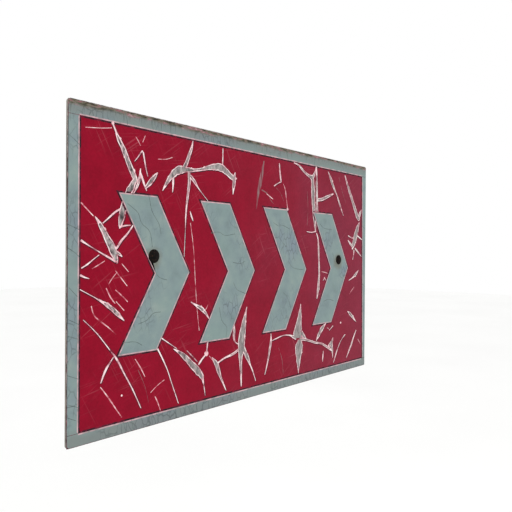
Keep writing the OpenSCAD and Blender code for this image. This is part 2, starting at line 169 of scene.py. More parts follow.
TEARS = [
    # upper left: the long tear, its zigzag and the thin spurs
    [(-307, 203, 1.4), (-302, 193, 1.6), (-297, 183, 3.0), (-289, 170, 3.6), (-280, 152, 4.0),
     (-272, 137, 4.5),
     (-267, 128, 2.6)],
    [(-268, 133, 3.0), (-276, 119, 5.4), (-284, 103, 5.2), (-290, 85, 5.0), (-293, 71, 4.4),
     (-295, 61, 1.2)],
    [(-294, 63, 1.3), (-286, 65, 1.3), (-277, 66, 0.9)],
    [(-293, 88, 1.6), (-301, 84, 1.6), (-311, 76, 1.4), (-322, 67, 0.9)],
    [(-272, 111, 0.9), (-266, 121, 2.0), (-262, 132, 2.2), (-260, 147, 1.0)],
    [(-261, 144, 1.0), (-258, 136, 1.9), (-253, 125, 1.8), (-249, 117, 1.0)],
    [(-251, 121, 2.0), (-243, 129, 3.6), (-236, 137, 3.4), (-229, 145, 1.0)],
    [(-270, 157, 0.6), (-264, 164, 1.1), (-257, 173, 1.3), (-254, 165, 1.4), (-251, 151, 1.3),
     (-247, 138, 0.7)],
    [(-268, 191, 0.4), (-264, 186, 0.8), (-260, 180, 0.5)],
    [(-256, 186, 0.6), (-252, 195, 0.6)],
    [(-349, 191, 0.35), (-325, 194, 0.45), (-309, 197, 0.5)],
    [(-228, 165, 0.3), (-212, 167, 0.45), (-201, 171, 0.4)],
    # left: the spearhead and the spurs round it
    [(-355, 92, 1.2), (-346, 84, 1.0), (-337, 76, 0.8)],
    [(-334, 75, 1.0), (-327, 66, 2.8), (-319, 53, 4.2), (-311, 40, 5.2), (-304, 27, 5.6), (-299, 13, 1.6)],
    [(-305, 26, 3.4), (-298, 27, 2.8), (-291, 22, 1.0)],
    [(-300, 33, 1.6), (-292, 44, 1.8), (-281, 55, 1.4), (-267, 73, 1.0), (-250, 92, 0.7)],
    [(-355, 43, 1.8), (-346, 38, 1.2), (-331, 30, 1.0), (-315, 22, 1.5), (-301, 15, 1.8)],
    [(-354, 7, 1.0), (-345, 12, 1.3), (-337, 18, 0.9), (-328, 24, 0.8)],
    [(-338, 6, 0.5), (-328, 11, 0.8), (-319, 16, 0.6)],
    [(-291, 12, 0.7), (-280, 1, 0.6)],
    [(-356, -2, 1.8), (-350, -5, 1.4), (-343, -7, 0.5)],
    # upper middle: the arch with its legs
    [(-159, 202, 0.9), (-162, 190, 2.4), (-168, 176, 3.0), (-174, 163, 3.2), (-180, 155, 2.8)],
    [(-219, 120, 0.9), (-214, 128, 2.2), (-206, 139, 3.4), (-197, 148, 5.4), (-186, 154, 6.2),
     (-173, 156, 4.2),
     (-157, 157, 2.6), (-140, 160, 2.4), (-124, 165, 3.6), (-108, 168, 5.6), (-94, 168, 6.6),
     (-82, 162, 5.0),
     (-72, 156, 4.2), (-64, 154, 4.2), (-58, 154, 1.0)],
    [(-62, 164, 0.9), (-64, 155, 3.4), (-65, 143, 3.4), (-67, 127, 0.9)],
    [(-92, 200, 1.2), (-92, 186, 1.3), (-93, 172, 1.6)],
    [(-200, 146, 2.4), (-199, 133, 1.9), (-200, 119, 0.8)],
    [(-167, 152, 2.2), (-166, 140, 2.8), (-168, 124, 2.4), (-171, 105, 1.9), (-173, 86, 1.5),
     (-174, 60, 0.6),
     (-176, 22, 0.5)],
    [(-164, 147, 2.6), (-155, 139, 2.8), (-146, 129, 1.2), (-129, 114, 0.5), (-104, 92, 0.4),
     (-84, 72, 0.3)],
    [(-164, 92, 0.8), (-161, 84, 1.8), (-158, 78, 0.7)],
    [(-163, 74, 0.4), (-156, 32, 0.5), (-152, -18, 0.5), (-148, -60, 0.6), (-143, -95, 0.4)],
    [(-109, 64, 0.7), (-97, 62, 1.4), (-85, 58, 1.9)],
    [(-84, 57, 1.5), (-81, 67, 1.3), (-77, 75, 0.6)],
    # top, right of the middle
    [(22, 135, 0.7), (31, 131, 1.1), (40, 127, 0.6)],
    [(58, 194, 1.4), (60, 178, 2.0), (63, 163, 1.8)],
    [(64, 161, 1.4), (54, 157, 1.0), (43, 151, 1.3)],
    [(71, 157, 0.5), (77, 146, 1.2), (80, 131, 0.9), (84, 113, 1.0)],
    [(81, 111, 1.6), (84, 111, 2.6), (87, 111, 1.6)],
    [(87, 82, 0.6), (85, 62, 1.3), (83, 42, 0.9), (79, 14, 0.5)],
    [(52, 72, 0.3), (74, 77, 0.6), (97, 81, 0.5)],
    [(103, 201, 1.2), (119, 198, 1.9), (134, 189, 2.3), (150, 182, 2.6), (163, 179, 4.6)],
    [(177, 202, 1.4), (173, 191, 2.2), (166, 181, 3.4)],
    [(164, 181, 4.4), (167, 150, 5.8), (169, 125, 5.4), (172, 100, 4.2), (175, 82, 3.0), (176, 71, 1.0)],
    [(178, 205, 1.6), (179, 180, 2.6), (180, 150, 3.0), (181, 130, 2.7), (183, 105, 2.6), (185, 81, 1.2)],
    [(178, 73, 1.3), (164, 70, 1.4), (147, 71, 0.8)],
    [(180, 69, 1.3), (186, 55, 1.9), (188, 30, 2.3), (190, 5, 2.2), (190, -20, 2.5), (187, -44, 3.6),
     (183, -63, 1.0)],
    [(183, 136, 2.8), (200, 139, 3.3), (220, 146, 2.8), (240, 153, 1.6)],
    [(221, 197, 0.9), (229, 186, 2.8), (237, 173, 3.4), (246, 161, 2.0), (255, 150, 1.8), (268, 129, 2.2),
     (280, 110, 0.6)],
    # right edge: the long slash and the knot below it
    [(286, 196, 1.4), (294, 182, 2.8), (306, 162, 3.8), (319, 141, 4.2), (331, 122, 4.6), (340, 109, 4.8),
     (347, 103, 2.6)],
    [(344, 106, 3.0), (349, 117, 3.8), (357, 127, 1.4)],
    [(347, 98, 1.2), (341, 88, 4.4), (335, 75, 6.6), (329, 61, 7.0), (322, 47, 4.8), (318, 38, 1.6)],
    [(325, 36, 2.2), (324, 27, 1.8), (320, 15, 0.8)],
    [(301, 67, 1.2), (314, 63, 1.6), (325, 62, 2.0)],
    [(300, 57, 1.4), (309, 50, 2.4), (321, 42, 2.2)],
    [(340, 68, 1.6), (353, 62, 1.6), (362, 59, 0.9)],
    [(330, 40, 1.8), (343, 31, 2.0), (357, 22, 0.9)],
    [(231, 61, 0.9), (238, 50, 1.9), (247, 37, 0.9)],
    [(305, -30, 0.8), (320, -25, 1.6), (334, -17, 2.8), (345, -9, 0.9)],
    [(308, -60, 0.5), (318, -52, 1.0), (327, -46, 0.5)],
    [(199, -9, 0.5), (213, -11, 0.7), (226, -14, 0.4)],
    [(205, -27, 0.9), (210, -22, 2.4), (215, -27, 1.0)],
    [(235, -60, 1.2), (250, -52, 1.8), (267, -40, 0.8)],
    # lower right
    [(301, -98, 1.2), (311, -104, 3.4), (322, -112, 2.9), (336, -123, 0.8)],
    [(182, -148, 1.0), (190, -138, 3.8), (200, -127, 4.8), (210, -120, 2.4), (219, -114, 0.8)],
    [(229, -132, 0.8), (243, -124, 1.4)],
    [(222, -126, 0.4), (231, -131, 0.6)],
    [(221, -167, 1.0), (230, -163, 3.4), (238, -159, 4.6), (243, -149, 1.2)],
    [(237, -160, 4.2), (241, -176, 2.6), (243, -191, 0.8)],
    [(207, -172, 1.6), (206, -182, 2.0), (205, -193, 1.0)],
    [(291, -147, 1.2), (276, -157, 0.9), (263, -172, 1.1), (255, -185, 1.8), (246, -201, 1.0)],
    [(337, -142, 1.0), (326, -157, 1.9), (318, -170, 2.4), (307, -185, 2.0), (297, -198, 0.8)],
    [(345, -163, 0.4), (356, -175, 0.7)],
    # the big star
    [(128, -71, 0.8), (126, -85, 3.6), (124, -100, 7.0), (121, -115, 10.5), (119, -127, 13.5),
     (118, -135, 14.5)],
    [(41, -132, 0.8), (56, -129, 1.4), (75, -126, 1.0), (94, -128, 1.5), (104, -132, 2.6),
     (114, -135, 4.0)],
    [(131, -126, 4.4), (138, -134, 3.8), (144, -139, 2.2), (150, -144, 0.8)],
    [(126, -139, 3.0), (141, -141, 2.4), (160, -146, 2.2), (180, -152, 2.0), (200, -156, 2.0),
     (216, -163, 2.4),
     (232, -171, 2.4), (241, -177, 0.8)],
    [(126, -141, 6.0), (124, -150, 11.0), (123, -160, 11.5), (122, -175, 7.6), (122, -190, 3.8),
     (122, -204, 0.8)],
    [(37, -119, 0.9), (37, -133, 2.4), (33, -150, 2.3), (28, -168, 2.0), (24, -181, 1.4), (20, -191, 0.5)],
    # the second star, lower middle, and its legs
    [(-30, -66, 0.9), (-34, -80, 2.8), (-38, -95, 5.6), (-41, -110, 7.6), (-43, -125, 8.6),
     (-44, -140, 7.4),
     (-45, -155, 3.8), (-44, -175, 2.4), (-43, -201, 1.4)],
    [(-41, -130, 5.0), (-35, -141, 3.8), (-28, -153, 3.8), (-21, -166, 1.8), (-13, -180, 1.4),
     (-5, -198, 0.8)],
    [(-50, -137, 2.2), (-65, -143, 2.2), (-85, -147, 1.7), (-101, -153, 1.6)],
    [(-62, -91, 1.2), (-62, -105, 2.5), (-62, -117, 2.3), (-58, -124, 1.2), (-50, -128, 1.2)],
    [(-62, -70, 0.5), (-63, -79, 0.9), (-62, -87, 0.5)],
    [(-114, -142, 1.2), (-107, -150, 3.2), (-103, -156, 4.2), (-99, -166, 3.6), (-94, -177, 2.2),
     (-88, -188, 1.8),
     (-81, -201, 0.9)],
    # lower middle: the slanting tear and the dot
    [(-196, -118, 0.8), (-181, -127, 3.2), (-168, -138, 4.6), (-155, -150, 5.4), (-145, -160, 5.6),
     (-137, -169, 3.6),
     (-133, -181, 1.4), (-129, -201, 0.8)],
    [(-169, -124, 0.7), (-159, -133, 1.3), (-147, -144, 0.7)],
    [(-144, -149, 1.8), (-137, -142, 1.7), (-129, -136, 1.6)],
    [(-126, -130, 1.0), (-124, -115, 1.7), (-118, -97, 0.9)],
    [(-120, -139, 0.4), (-110, -150, 0.7)],
    [(-161, -49, 0.9), (-148, -56, 2.3), (-137, -62, 3.2), (-129, -69, 2.4), (-121, -79, 0.8)],
    [(-136, -66, 0.6), (-128, -62, 1.0), (-124, -56, 0.6)],
    # lower left: the fan of long hair cracks
    [(-250, -72, 0.8), (-247, -82, 2.6), (-243, -92, 2.6), (-239, -99, 0.8)],
    [(-248, -71, 1.0), (-240, -82, 2.3), (-230, -92, 2.3), (-218, -100, 1.2), (-190, -118, 0.5)],
    [(-356, -21, 0.8), (-335, -32, 0.9), (-319, -41, 2.2), (-306, -50, 3.2), (-296, -59, 2.8),
     (-287, -67, 0.8)],
    [(-316, -21, 0.9), (-309, -34, 1.1), (-302, -42, 0.6)],
    [(-301, -24, 0.8), (-291, -32, 1.1), (-281, -41, 0.9)],
    [(-301, 2, 0.6), (-291, -9, 0.9), (-282, -19, 0.5)],
    [(-312, -15, 0.4), (-306, -7, 0.5), (-299, 0, 0.4)],
    [(-300, -40, 0.5), (-287, -53, 0.8)],
    [(-339, -44, 0.8), (-335, -56, 0.9), (-325, -65, 1.1), (-314, -73, 0.9), (-300, -85, 0.4)],
    [(-351, -61, 0.6), (-331, -80, 0.9), (-311, -104, 1.0), (-299, -119, 1.6), (-285, -143, 1.2),
     (-271, -167, 1.1),
     (-257, -195, 0.8)],
    [(-324, -154, 0.7), (-311, -171, 1.1), (-300, -187, 0.9), (-290, -201, 0.7)],
    [(-267, -124, 0.7), (-258, -137, 1.1), (-250, -151, 0.6)],
    [(-227, -114, 1.5), (-217, -131, 1.3), (-208, -148, 0.9), (-200, -168, 0.9), (-193, -185, 1.0),
     (-186, -202, 0.7)],
    [(-324, -148, 1.0), (-318, -134, 1.8), (-311, -124, 1.5), (-304, -116, 0.8)],
    [(-231, -184, 0.8), (-226, -193, 1.1), (-221, -206, 0.7)],
    [(-239, -176, 0.4), (-227, -168, 0.6), (-214, -162, 0.4)],
]
TEAR_STEP = 5.0  # mm between the points of a torn edge
SLIMMEST = 0.36  # mm, half the width of the slimmest crack
LEAST = 0.3      # mm, half the width under which an outline isn't drawn
POINT = 0.8      # mm that a tear's pointed end runs on


def stroke_points(path):
    """Points every few mm along a smooth curve through the path, each with half the tear's width."""
    ends = [path[0]] + path + [path[-1]]
    points = []
    for before, a, b, after in zip(ends, ends[1:], ends[2:], ends[3:]):
        count = max(1, round(math.dist(a[:2], b[:2]) / TEAR_STEP))
        for k in range(count):
            t = k / count
            points.append([0.5 * (2 * q + (r - p) * t + (2 * p - 5 * q + 4 * r - s) * t * t
                                  + (3 * q - p - 3 * r + s) * t ** 3)
                           for p, q, r, s in zip(before, a, b, after)])
    points.append(list(path[-1]))
    return points


def stroke_outline(path, seed, grow=0.0, ragged=0.1, shift=(0.0, 0.0)):
    """The torn outline of a stroke, grown and shifted by so many mm, or None where nothing is left."""
    chance = random.Random(seed)
    left, right = [], []
    points = stroke_points(path)
    for i, (x, z, half) in enumerate(points):
        ahead = points[min(i + 1, len(points) - 1)]
        behind_it = points[max(i - 1, 0)]
        run = Vector((ahead[0] - behind_it[0], ahead[1] - behind_it[1])).normalized()
        side = Vector((-run.y, run.x))
        slim = max(half * (0.5 + 0.5 * min(1, half / 2.5)), SLIMMEST)
        reach = [slim * (1 + chance.uniform(-ragged, ragged)) for _ in range(2)]
        unevenness = [chance.uniform(0.55, 1.45) for _ in range(2)]
        reach = [r + grow * (u if grow < 0 else 1) for r, u in zip(reach, unevenness)]
        if min(reach) < LEAST:
            continue
        middle = Vector((x + shift[0], z + shift[1]))
        left.append(middle + side * reach[0])
        right.append(middle - side * reach[1])
    if len(left) < 2:
        return None
    tip = (left[-1] - right[-1]).orthogonal().normalized() * POINT
    tail = (right[0] - left[0]).orthogonal().normalized() * POINT
    if tip.dot(left[-1] - left[-2]) < 0:
        tip = -tip
    if tail.dot(left[0] - left[1]) < 0:
        tail = -tail
    return [(left[0] + right[0]) / 2 + tail] + left + [(left[-1] + right[-1]) / 2 + tip] + right[::-1]


def stroke_outlines(paths, **how):
    """The outlines of all these strokes that leave something."""
    found = [stroke_outline(path, seed, **how) for seed, path in enumerate(paths)]
    return [outline for outline in found if outline]


def slab(name, outline, back, front_y):
    """A flat-sided piece with this outline, in mm from the plate's middle, from y back to y front_y."""
    mesh = bpy.data.meshes.new(name)
    corners = [(x * MM, back, z * MM + plate_middle_z) for x, z in outline]
    mesh.from_pydata(corners, [], [tuple(range(len(corners)))])
    piece = bpy.data.objects.new(name, mesh)
    bpy.context.collection.objects.link(piece)
    bpy.context.view_layer.objects.active = piece
    piece.select_set(True)
    bpy.ops.object.mode_set(mode="EDIT")
    bpy.ops.mesh.select_all(action="SELECT")
    bpy.ops.mesh.extrude_region_move(TRANSFORM_OT_translate={"value": (0, front_y - back, 0)})
    bpy.ops.mesh.select_all(action="SELECT")
    bpy.ops.mesh.normals_make_consistent(inside=False)
    bpy.ops.object.mode_set(mode="OBJECT")
    piece.select_set(False)
    return piece


def combine(target, tools, operation):
    """Applies a Boolean of target with all the tools, and removes the tools."""
    group = bpy.data.collections.new("tools")
    bpy.context.scene.collection.children.link(group)
    for tool in tools:
        for owner in list(tool.users_collection):
            owner.objects.unlink(tool)
        group.objects.link(tool)
    bpy.context.view_layer.objects.active = target
    modifier = target.modifiers.new("cut", "BOOLEAN")
    modifier.operand_type = "COLLECTION"
    modifier.collection = group
    modifier.operation = operation
    modifier.solver = "EXACT"
    modifier.use_self = True
    bpy.ops.object.modifier_apply(modifier=modifier.name)
    for tool in tools:
        bpy.data.objects.remove(tool)
    bpy.data.collections.remove(group)


sheet_low, sheet_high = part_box("red_sheeting")
sheet_front = sheet_low.y
SHEET_CORNER = 4 * MM
THROUGH = 1 * MM  # how far a cutter stands out on both sides


def cutters(outlines, front_y):
    """Cutting tools with these outlines, from behind the film to in front of y front_y."""
    return [slab("cutter", outline, sheet_high.y + THROUGH, front_y - THROUGH) for outline in outlines]


# The film is drawn as a plane turned upright, its corners rounded, then pulled out to its thickness.
bpy.ops.mesh.primitive_plane_add(size=1, location=(0, sheet_high.y, plate_middle_z),
                                 rotation=(math.pi / 2, 0, 0))
red_film = bpy.context.active_object
red_film.name = "red_film"
red_film.scale = (sheet_high.x - sheet_low.x, sheet_high.z - sheet_low.z, 1)
bpy.ops.object.transform_apply(location=True, rotation=True, scale=True)
bpy.ops.object.mode_set(mode="EDIT")
bpy.ops.mesh.select_all(action="SELECT")
bpy.ops.mesh.bevel(offset=SHEET_CORNER, segments=8, affect="VERTICES")
bpy.ops.mesh.extrude_region_move(TRANSFORM_OT_translate={"value": (0, sheet_front - sheet_high.y, 0)})
bpy.ops.mesh.select_all(action="SELECT")
bpy.ops.mesh.normals_make_consistent(inside=False)
bpy.ops.object.mode_set(mode="OBJECT")
red_film.select_set(False)

# A square punch went through film and plate together at each face bolt.
PUNCH = 5.3  # mm, half the side of a punched hole
bolt_spots = {}
for side in ("left", "right"):
    low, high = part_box("face_bolt_" + side)
    bolt_spots[side] = Vector(((low.x + high.x) / 2, low.y, (low.z + high.z) / 2))
squares = []
for spot in bolt_spots.values():
    x, z = spot.x / MM, (spot.z - plate_middle_z) / MM
    squares.append([(x - PUNCH, z - PUNCH), (x + PUNCH, z - PUNCH),
                    (x + PUNCH, z + PUNCH), (x - PUNCH, z + PUNCH)])
combine(red_film, cutters(squares, sheet_front), "DIFFERENCE")

# The wide tears go right through the film; a hair crack only whitens it.
HAIR = 1.25  # mm, half the width of the widest hair crack
open_tears = [path for path in TEARS if max(half for _, _, half in path) > HAIR]
hairs = [path for path in TEARS if path not in open_tears]
torn = stroke_outlines(open_tears)
combine(red_film, cutters(torn, sheet_front), "DIFFERENCE")


def caked_with_dirt(tree, place, split, under):
    """Mixes brown dirt over a colour in a ragged band along the sign's top edge, wiped lengthwise."""
    wipe = add(tree, "Mapping", {"Vector": place, "Scale": (0.3, 1.0, 1.0)})
    cake = add(tree, "TexNoise", {"Vector": wipe.outputs[0], "Scale": 300.0, "Detail": 5.0})
    dirt = add(tree, "ValToRGB", {0: cake.outputs["Fac"]},
               [(0.34, "#35322b"), (0.44, "#57523f"), (0.53, "#736d62"), (0.60, "#835258"),
                (0.70, "#a98f90")])
    spread = add(tree, "TexNoise", {"Vector": place, "Scale": 12.0, "Detail": 6.0, "Roughness": 0.7})
    height = add(tree, "Math", {0: spread.outputs["Fac"], 1: 14 * MM, 2: split.outputs["Z"]},
                 operation="MULTIPLY_ADD")
    band = add(tree, "MapRange", {"Value": height.outputs[0], "From Min": plate_middle_z + 223.5 * MM,
                                  "From Max": plate_middle_z + 227.5 * MM, "To Max": 0.95})
    return add(tree, "Mix", {"Factor": band.outputs[0], 6: under, 7: dirt.outputs[0]}, data_type="RGBA")


# Vinyl film, calendered and coated, with fine light scratches. Its red is strongest at the left and turns
# pinker and bluer to the right: that turn is painted glare, the sky's reflection laid into the colour, over
# a random drift of tone. The coat has weathered off, so it hardly shines.
red_vinyl, tree, shader = start_material("vinyl_reflective_film_red_painted_glare", IOR=1.49,
                                         Specular_IOR_Level=0.08)
place = add(tree, "TexCoord").outputs["Object"]
split = add(tree, "SeparateXYZ", {0: place})
drift = add(tree, "TexNoise", {"Vector": place, "Scale": 6.0, "Detail": 4.0, "Roughness": 0.55})
# Painted glare: the colour slides from deep red at the left to a bluish pink at the right, as the sky's
# reflection would.
across = add(tree, "MapRange", {"Value": split.outputs["X"], "From Min": -0.33, "From Max": 0.38})
mixed = add(tree, "Math", {0: drift.outputs["Fac"], 1: 0.9, 2: across.outputs[0]},
            operation="MULTIPLY_ADD")
tone_and_painted_glare = add(tree, "MapRange", {"Value": mixed.outputs[0], "From Min": 0.3, "From Max": 1.45})
base = add(tree, "ValToRGB", {0: tone_and_painted_glare.outputs[0]},
           [(0.0, "#870220"), (0.35, "#860a25"), (0.6, "#83182d"), (0.8, "#802437"), (1.0, "#7f2a3d")])
# Light scratches 1 mm wide and 40 to 60 mm long, leaning three ways.
scratch_looks = []
for lean, low_stop, seed_place in ((0.95, 0.66, 0.0), (-0.5, 0.66, 3.0), (1.4, 0.68, 7.0)):
    leaning = add(tree, "Mapping", {"Vector": place, "Location": (seed_place, 0, 0),
                                    "Rotation": (0, lean, 0), "Scale": (1.0, 1.0, 40.0)},
                  vector_type="TEXTURE")
    lines = add(tree, "TexNoise", {"Vector": leaning.outputs[0], "Scale": 520.0, "Detail": 1.0})
    scratch_looks.append(add(tree, "MapRange", {"Value": lines.outputs["Fac"], "From Min": low_stop,
                                                "From Max": 0.78}).outputs[0])
either = add(tree, "Math", {0: scratch_looks[0], 1: scratch_looks[1]}, operation="MAXIMUM")
all_three = add(tree, "Math", {0: either.outputs[0], 1: scratch_looks[2]}, operation="MAXIMUM")
where = add(tree, "TexNoise", {"Vector": place, "Scale": 11.0, "Detail": 2.0})
patchy = add(tree, "MapRange", {"Value": where.outputs["Fac"], "From Min": 0.45, "From Max": 0.62})
scuffed = add(tree, "Math", {0: all_three.outputs[0], 1: patchy.outputs[0]}, operation="MULTIPLY")
scuff = add(tree, "Math", {0: scuffed.outputs[0], 1: 0.15}, operation="MULTIPLY")
scratched = add(tree, "Mix", {"Factor": scuff.outputs[0], 6: base.outputs[0], 7: colour("#d58c95")},
                data_type="RGBA")
# Soiling in clouds about 30 mm across, over the film's grain.
grain = add(tree, "TexNoise", {"Vector": place, "Scale": 260.0, "Detail": 3.0})
soil = add(tree, "TexNoise", {"Vector": place, "Scale": 30.0, "Detail": 5.0, "Roughness": 0.65})
clouds = add(tree, "Math", {0: soil.outputs["Fac"], 1: 1.6, 2: grain.outputs["Fac"]},
             operation="MULTIPLY_ADD")
speckle = add(tree, "MapRange", {"Value": clouds.outputs[0], "From Min": 0.8, "From Max": 1.8,
                                 "To Min": 0.82, "To Max": 1.16})
final = add(tree, "Mix", {"Factor": 1.0, 6: scratched.outputs[2], 7: speckle.outputs[0]},
            data_type="RGBA", blend_type="MULTIPLY")
worn = caked_with_dirt(tree, place, split, final.outputs[2])
tree.links.new(worn.outputs[2], shader.inputs["Base Color"])
rough = add(tree, "MapRange", {"Value": drift.outputs["Fac"], "To Min": 0.5, "To Max": 0.8})
tree.links.new(rough.outputs[0], shader.inputs["Roughness"])
orange_peel = add(tree, "Bump", {"Height": grain.outputs["Fac"], "Strength": 0.15, "Distance": 0.2 * MM})
tree.links.new(orange_peel.outputs[0], shader.inputs["Normal"])
dress(red_film, red_vinyl)
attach(red_film, "sign_board")
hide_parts("red_sheeting")


# ---------------------------------------------------------------------------------------------
# The torn rims: where the film broke, its clear facing has come loose and curled up, so a narrow lip
# of whitish pink stands a little proud round every tear, and a hair crack is all lip.

RIM = 1.25             # mm of whitened film round a tear
LIP = 0.3 * MM         # how proud a torn lip stands
HAIR_LIP = 0.06 * MM   # how proud a hair crack stands
HAIR_SPREAD = 0.1      # mm that the whitening reaches past a hair crack


def outlined(name, outer, inner, front_y):
    """One flat piece of all the outer outlines, less the inner ones."""
    piece = slab(name, outer[0], sheet_high.y, front_y)
    combine(piece, [slab("part", o, sheet_high.y, front_y) for o in outer[1:]], "UNION")
    if inner:
        combine(piece, cutters(inner, front_y), "DIFFERENCE")
    return piece


torn_rims = outlined("torn_rims", torn, stroke_outlines(open_tears, grow=-RIM), sheet_front - LIP)

# The same vinyl, delaminated: full of air, so pale pink, nearly white on the loosest curls.
torn_vinyl, tree, shader = start_material("vinyl_film_torn_edge_delaminated", IOR=1.49, Roughness=0.6)
place = add(tree, "TexCoord").outputs["Object"]
curl = add(tree, "TexNoise", {"Vector": place, "Scale": 85.0, "Detail": 4.0, "Roughness": 0.6})
pinks = add(tree, "ValToRGB", {0: curl.outputs["Fac"]},
            [(0.30, "#8c2a3c"), (0.40, "#cf97a0"), (0.52, "#ecc9cc"), (0.66, "#f7e6e5")])
tree.links.new(pinks.outputs[0], shader.inputs["Base Color"])
flaky = add(tree, "Bump", {"Height": curl.outputs["Fac"], "Strength": 0.6, "Distance": 0.5 * MM})
tree.links.new(flaky.outputs[0], shader.inputs["Normal"])
dress(torn_rims, torn_vinyl)

red_hair_cracks = outlined("red_hair_cracks", stroke_outlines(hairs, grow=HAIR_SPREAD), [],
                           sheet_front - HAIR_LIP)

# A hair crack is the same vinyl, only whitened along the break, so more of the red shows.
crazed_vinyl, tree, shader = start_material("vinyl_reflective_film_red_crazed", IOR=1.49, Roughness=0.6,
                                            Specular_IOR_Level=0.1)
place = add(tree, "TexCoord").outputs["Object"]
broken = add(tree, "TexNoise", {"Vector": place, "Scale": 75.0, "Detail": 4.0, "Roughness": 0.65})
whitened = add(tree, "ValToRGB", {0: broken.outputs["Fac"]},
               [(0.34, "#8a1c30"), (0.43, "#c47883"), (0.53, "#e2b1b6"), (0.64, "#f2dcdc")])
tree.links.new(whitened.outputs[0], shader.inputs["Base Color"])
dress(red_hair_cracks, crazed_vinyl)
for piece in (torn_rims, red_hair_cracks):
    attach(piece, "sign_board")


# ---------------------------------------------------------------------------------------------
# Painted shadow round the tears: a dark line about a millimetre wide on the red film, shifted to the lower
# right of each torn lip, where the lifted lip's shade would fall.

SHADOW_GROW = 1.1           # mm that the painted shadow reaches past a tear
SHADOW_SHIFT = (0.4, -0.5)     # mm that the painted shadow is shifted, to the lower right
SHADOW_T = 0.05 * MM   # its thickness
# Painted shadow: the tears' outlines grown and shifted down and right, less the tears themselves.
tear_painted_shadow = outlined("tear_painted_shadow", stroke_outlines(open_tears, grow=SHADOW_GROW, shift=SHADOW_SHIFT), torn,
                      sheet_front - SHADOW_T)

# Dark tones, red where they are lightest, for the painted shadow round the tears and the dark line along
# the pale film's cut edges, with the brown dirt band along the top edge mixed over them.
dirt_and_painted_shadow, tree, shader = start_material("dark_tones_and_dirt_painted_shadow", Roughness=0.9, Specular_IOR_Level=0.2)
place = add(tree, "TexCoord").outputs["Object"]
dark_mottle = add(tree, "TexNoise", {"Vector": place, "Scale": 140.0, "Detail": 4.0})
darks = add(tree, "ValToRGB", {0: dark_mottle.outputs["Fac"]},
            [(0.34, "#1e1118"), (0.47, "#351521"), (0.57, "#57162a"), (0.66, "#7a122b")])
split = add(tree, "SeparateXYZ", {0: place})
browned = caked_with_dirt(tree, place, split, darks.outputs[0])
tree.links.new(browned.outputs[2], shader.inputs["Base Color"])
dress(tear_painted_shadow, dirt_and_painted_shadow)
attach(tear_painted_shadow, "sign_board")


# ---------------------------------------------------------------------------------------------
# Worn streaks: places where something dragged down the sign and scoured the colour out of the red
# film without tearing it, so they are dull grey brown and lie flush.

WORN = [
    [(14, 193, 1.2), (9, 172, 3.4), (3, 150, 4.2), (-2, 130, 2.6), (-6, 106, 1.0)],
    [(8, 141, 1.6), (18, 138, 1.3), (30, 133, 0.6)],
    [(24, 140, 0.4), (34, 124, 0.7), (42, 119, 0.4)],
    [(50, 148, 0.4), (62, 140, 0.6), (72, 126, 0.4)],
    [(-262, -140, 0.3), (-250, -165, 0.5), (-243, -190, 0.3)],
    [(147, 150, 0.4), (150, 120, 0.6), (148, 84, 0.4)],
    [(262, 190, 0.4), (276, 160, 0.6), (290, 138, 0.4)],
    [(60, -148, 0.4), (70, -170, 0.8), (74, -196, 0.4)],
]
FLUSH = 0.04 * MM  # just enough for the streaks to cover the film
worn_streaks = outlined("worn_streaks", stroke_outlines(WORN), [], sheet_front - FLUSH)

# The same red vinyl with its colour scoured away.
scoured_vinyl, tree, shader = start_material("vinyl_reflective_film_red_scoured", IOR=1.49, Roughness=0.75,
                                             Specular_IOR_Level=0.15)
place = add(tree, "TexCoord").outputs["Object"]
drag_place = add(tree, "Mapping", {"Vector": place, "Scale": (1.0, 1.0, 0.15)})
drag = add(tree, "TexNoise", {"Vector": drag_place.outputs[0], "Scale": 300.0, "Detail": 4.0})
dulls = add(tree, "ValToRGB", {0: drag.outputs["Fac"]},
            [(0.35, "#7c2434"), (0.5, "#84545a"), (0.65, "#8a6f70")])
tree.links.new(dulls.outputs[0], shader.inputs["Base Color"])
dress(worn_streaks, scoured_vinyl)
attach(worn_streaks, "sign_board")


# ---------------------------------------------------------------------------------------------
# The pale film: the border's four strips and the four chevrons, cut from white reflective film that
# has gone grey-green, and stuck over the red. Each cut edge has lifted into a thin pinkish line.

EDGE_LINE = 1.8 * MM   # width of the pinkish line
DARK_EDGE_LINE = 2.5 * MM   # width of the dark line that slopes out from the cut edge
INSIDE = 0.5 * MM      # how far that dark line stays inside the plate's outline
CLOSE = 0.1 * MM       # near enough to be the same place
PALE_NODES = ["border_strip_top", "border_strip_bottom", "border_strip_left", "border_strip_right",
              "chevron_1", "chevron_2", "chevron_3", "chevron_4"]


def remade(node, name):
    """A copy of a CAD node as one clean closed mesh, standing in its place."""
    piece = nodes[node].copy()
    piece.data = nodes[node].data.copy()
    piece.name = name
    bpy.context.collection.objects.link(piece)
    for key in list(piece.keys()):
        del piece[key]
    piece.parent = None
    piece.matrix_world = Matrix.Identity(4)
    bpy.ops.object.select_all(action="DESELECT")
    piece.select_set(True)
    bpy.context.view_layer.objects.active = piece
    bpy.ops.object.mode_set(mode="EDIT")
    bpy.ops.mesh.select_all(action="SELECT")
    bpy.ops.mesh.remove_doubles(threshold=0.01 * MM)
    bpy.ops.mesh.dissolve_limited(angle_limit=math.radians(0.5))
    bpy.ops.mesh.normals_make_consistent(inside=False)
    bpy.ops.mesh.select_all(action="DESELECT")
    bpy.ops.object.mode_set(mode="OBJECT")
    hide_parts(node)
    return piece


def pick_faces(piece, test):
    """Selects the faces that pass the test, in edit mode, and leaves edit mode on."""
    bpy.ops.object.mode_set(mode="EDIT")
    bpy.ops.mesh.select_mode(type="FACE")
    mesh = bmesh.from_edit_mesh(piece.data)
    for face in mesh.faces:
        face.select_set(bool(test(face)))
    bmesh.update_edit_mesh(piece.data)


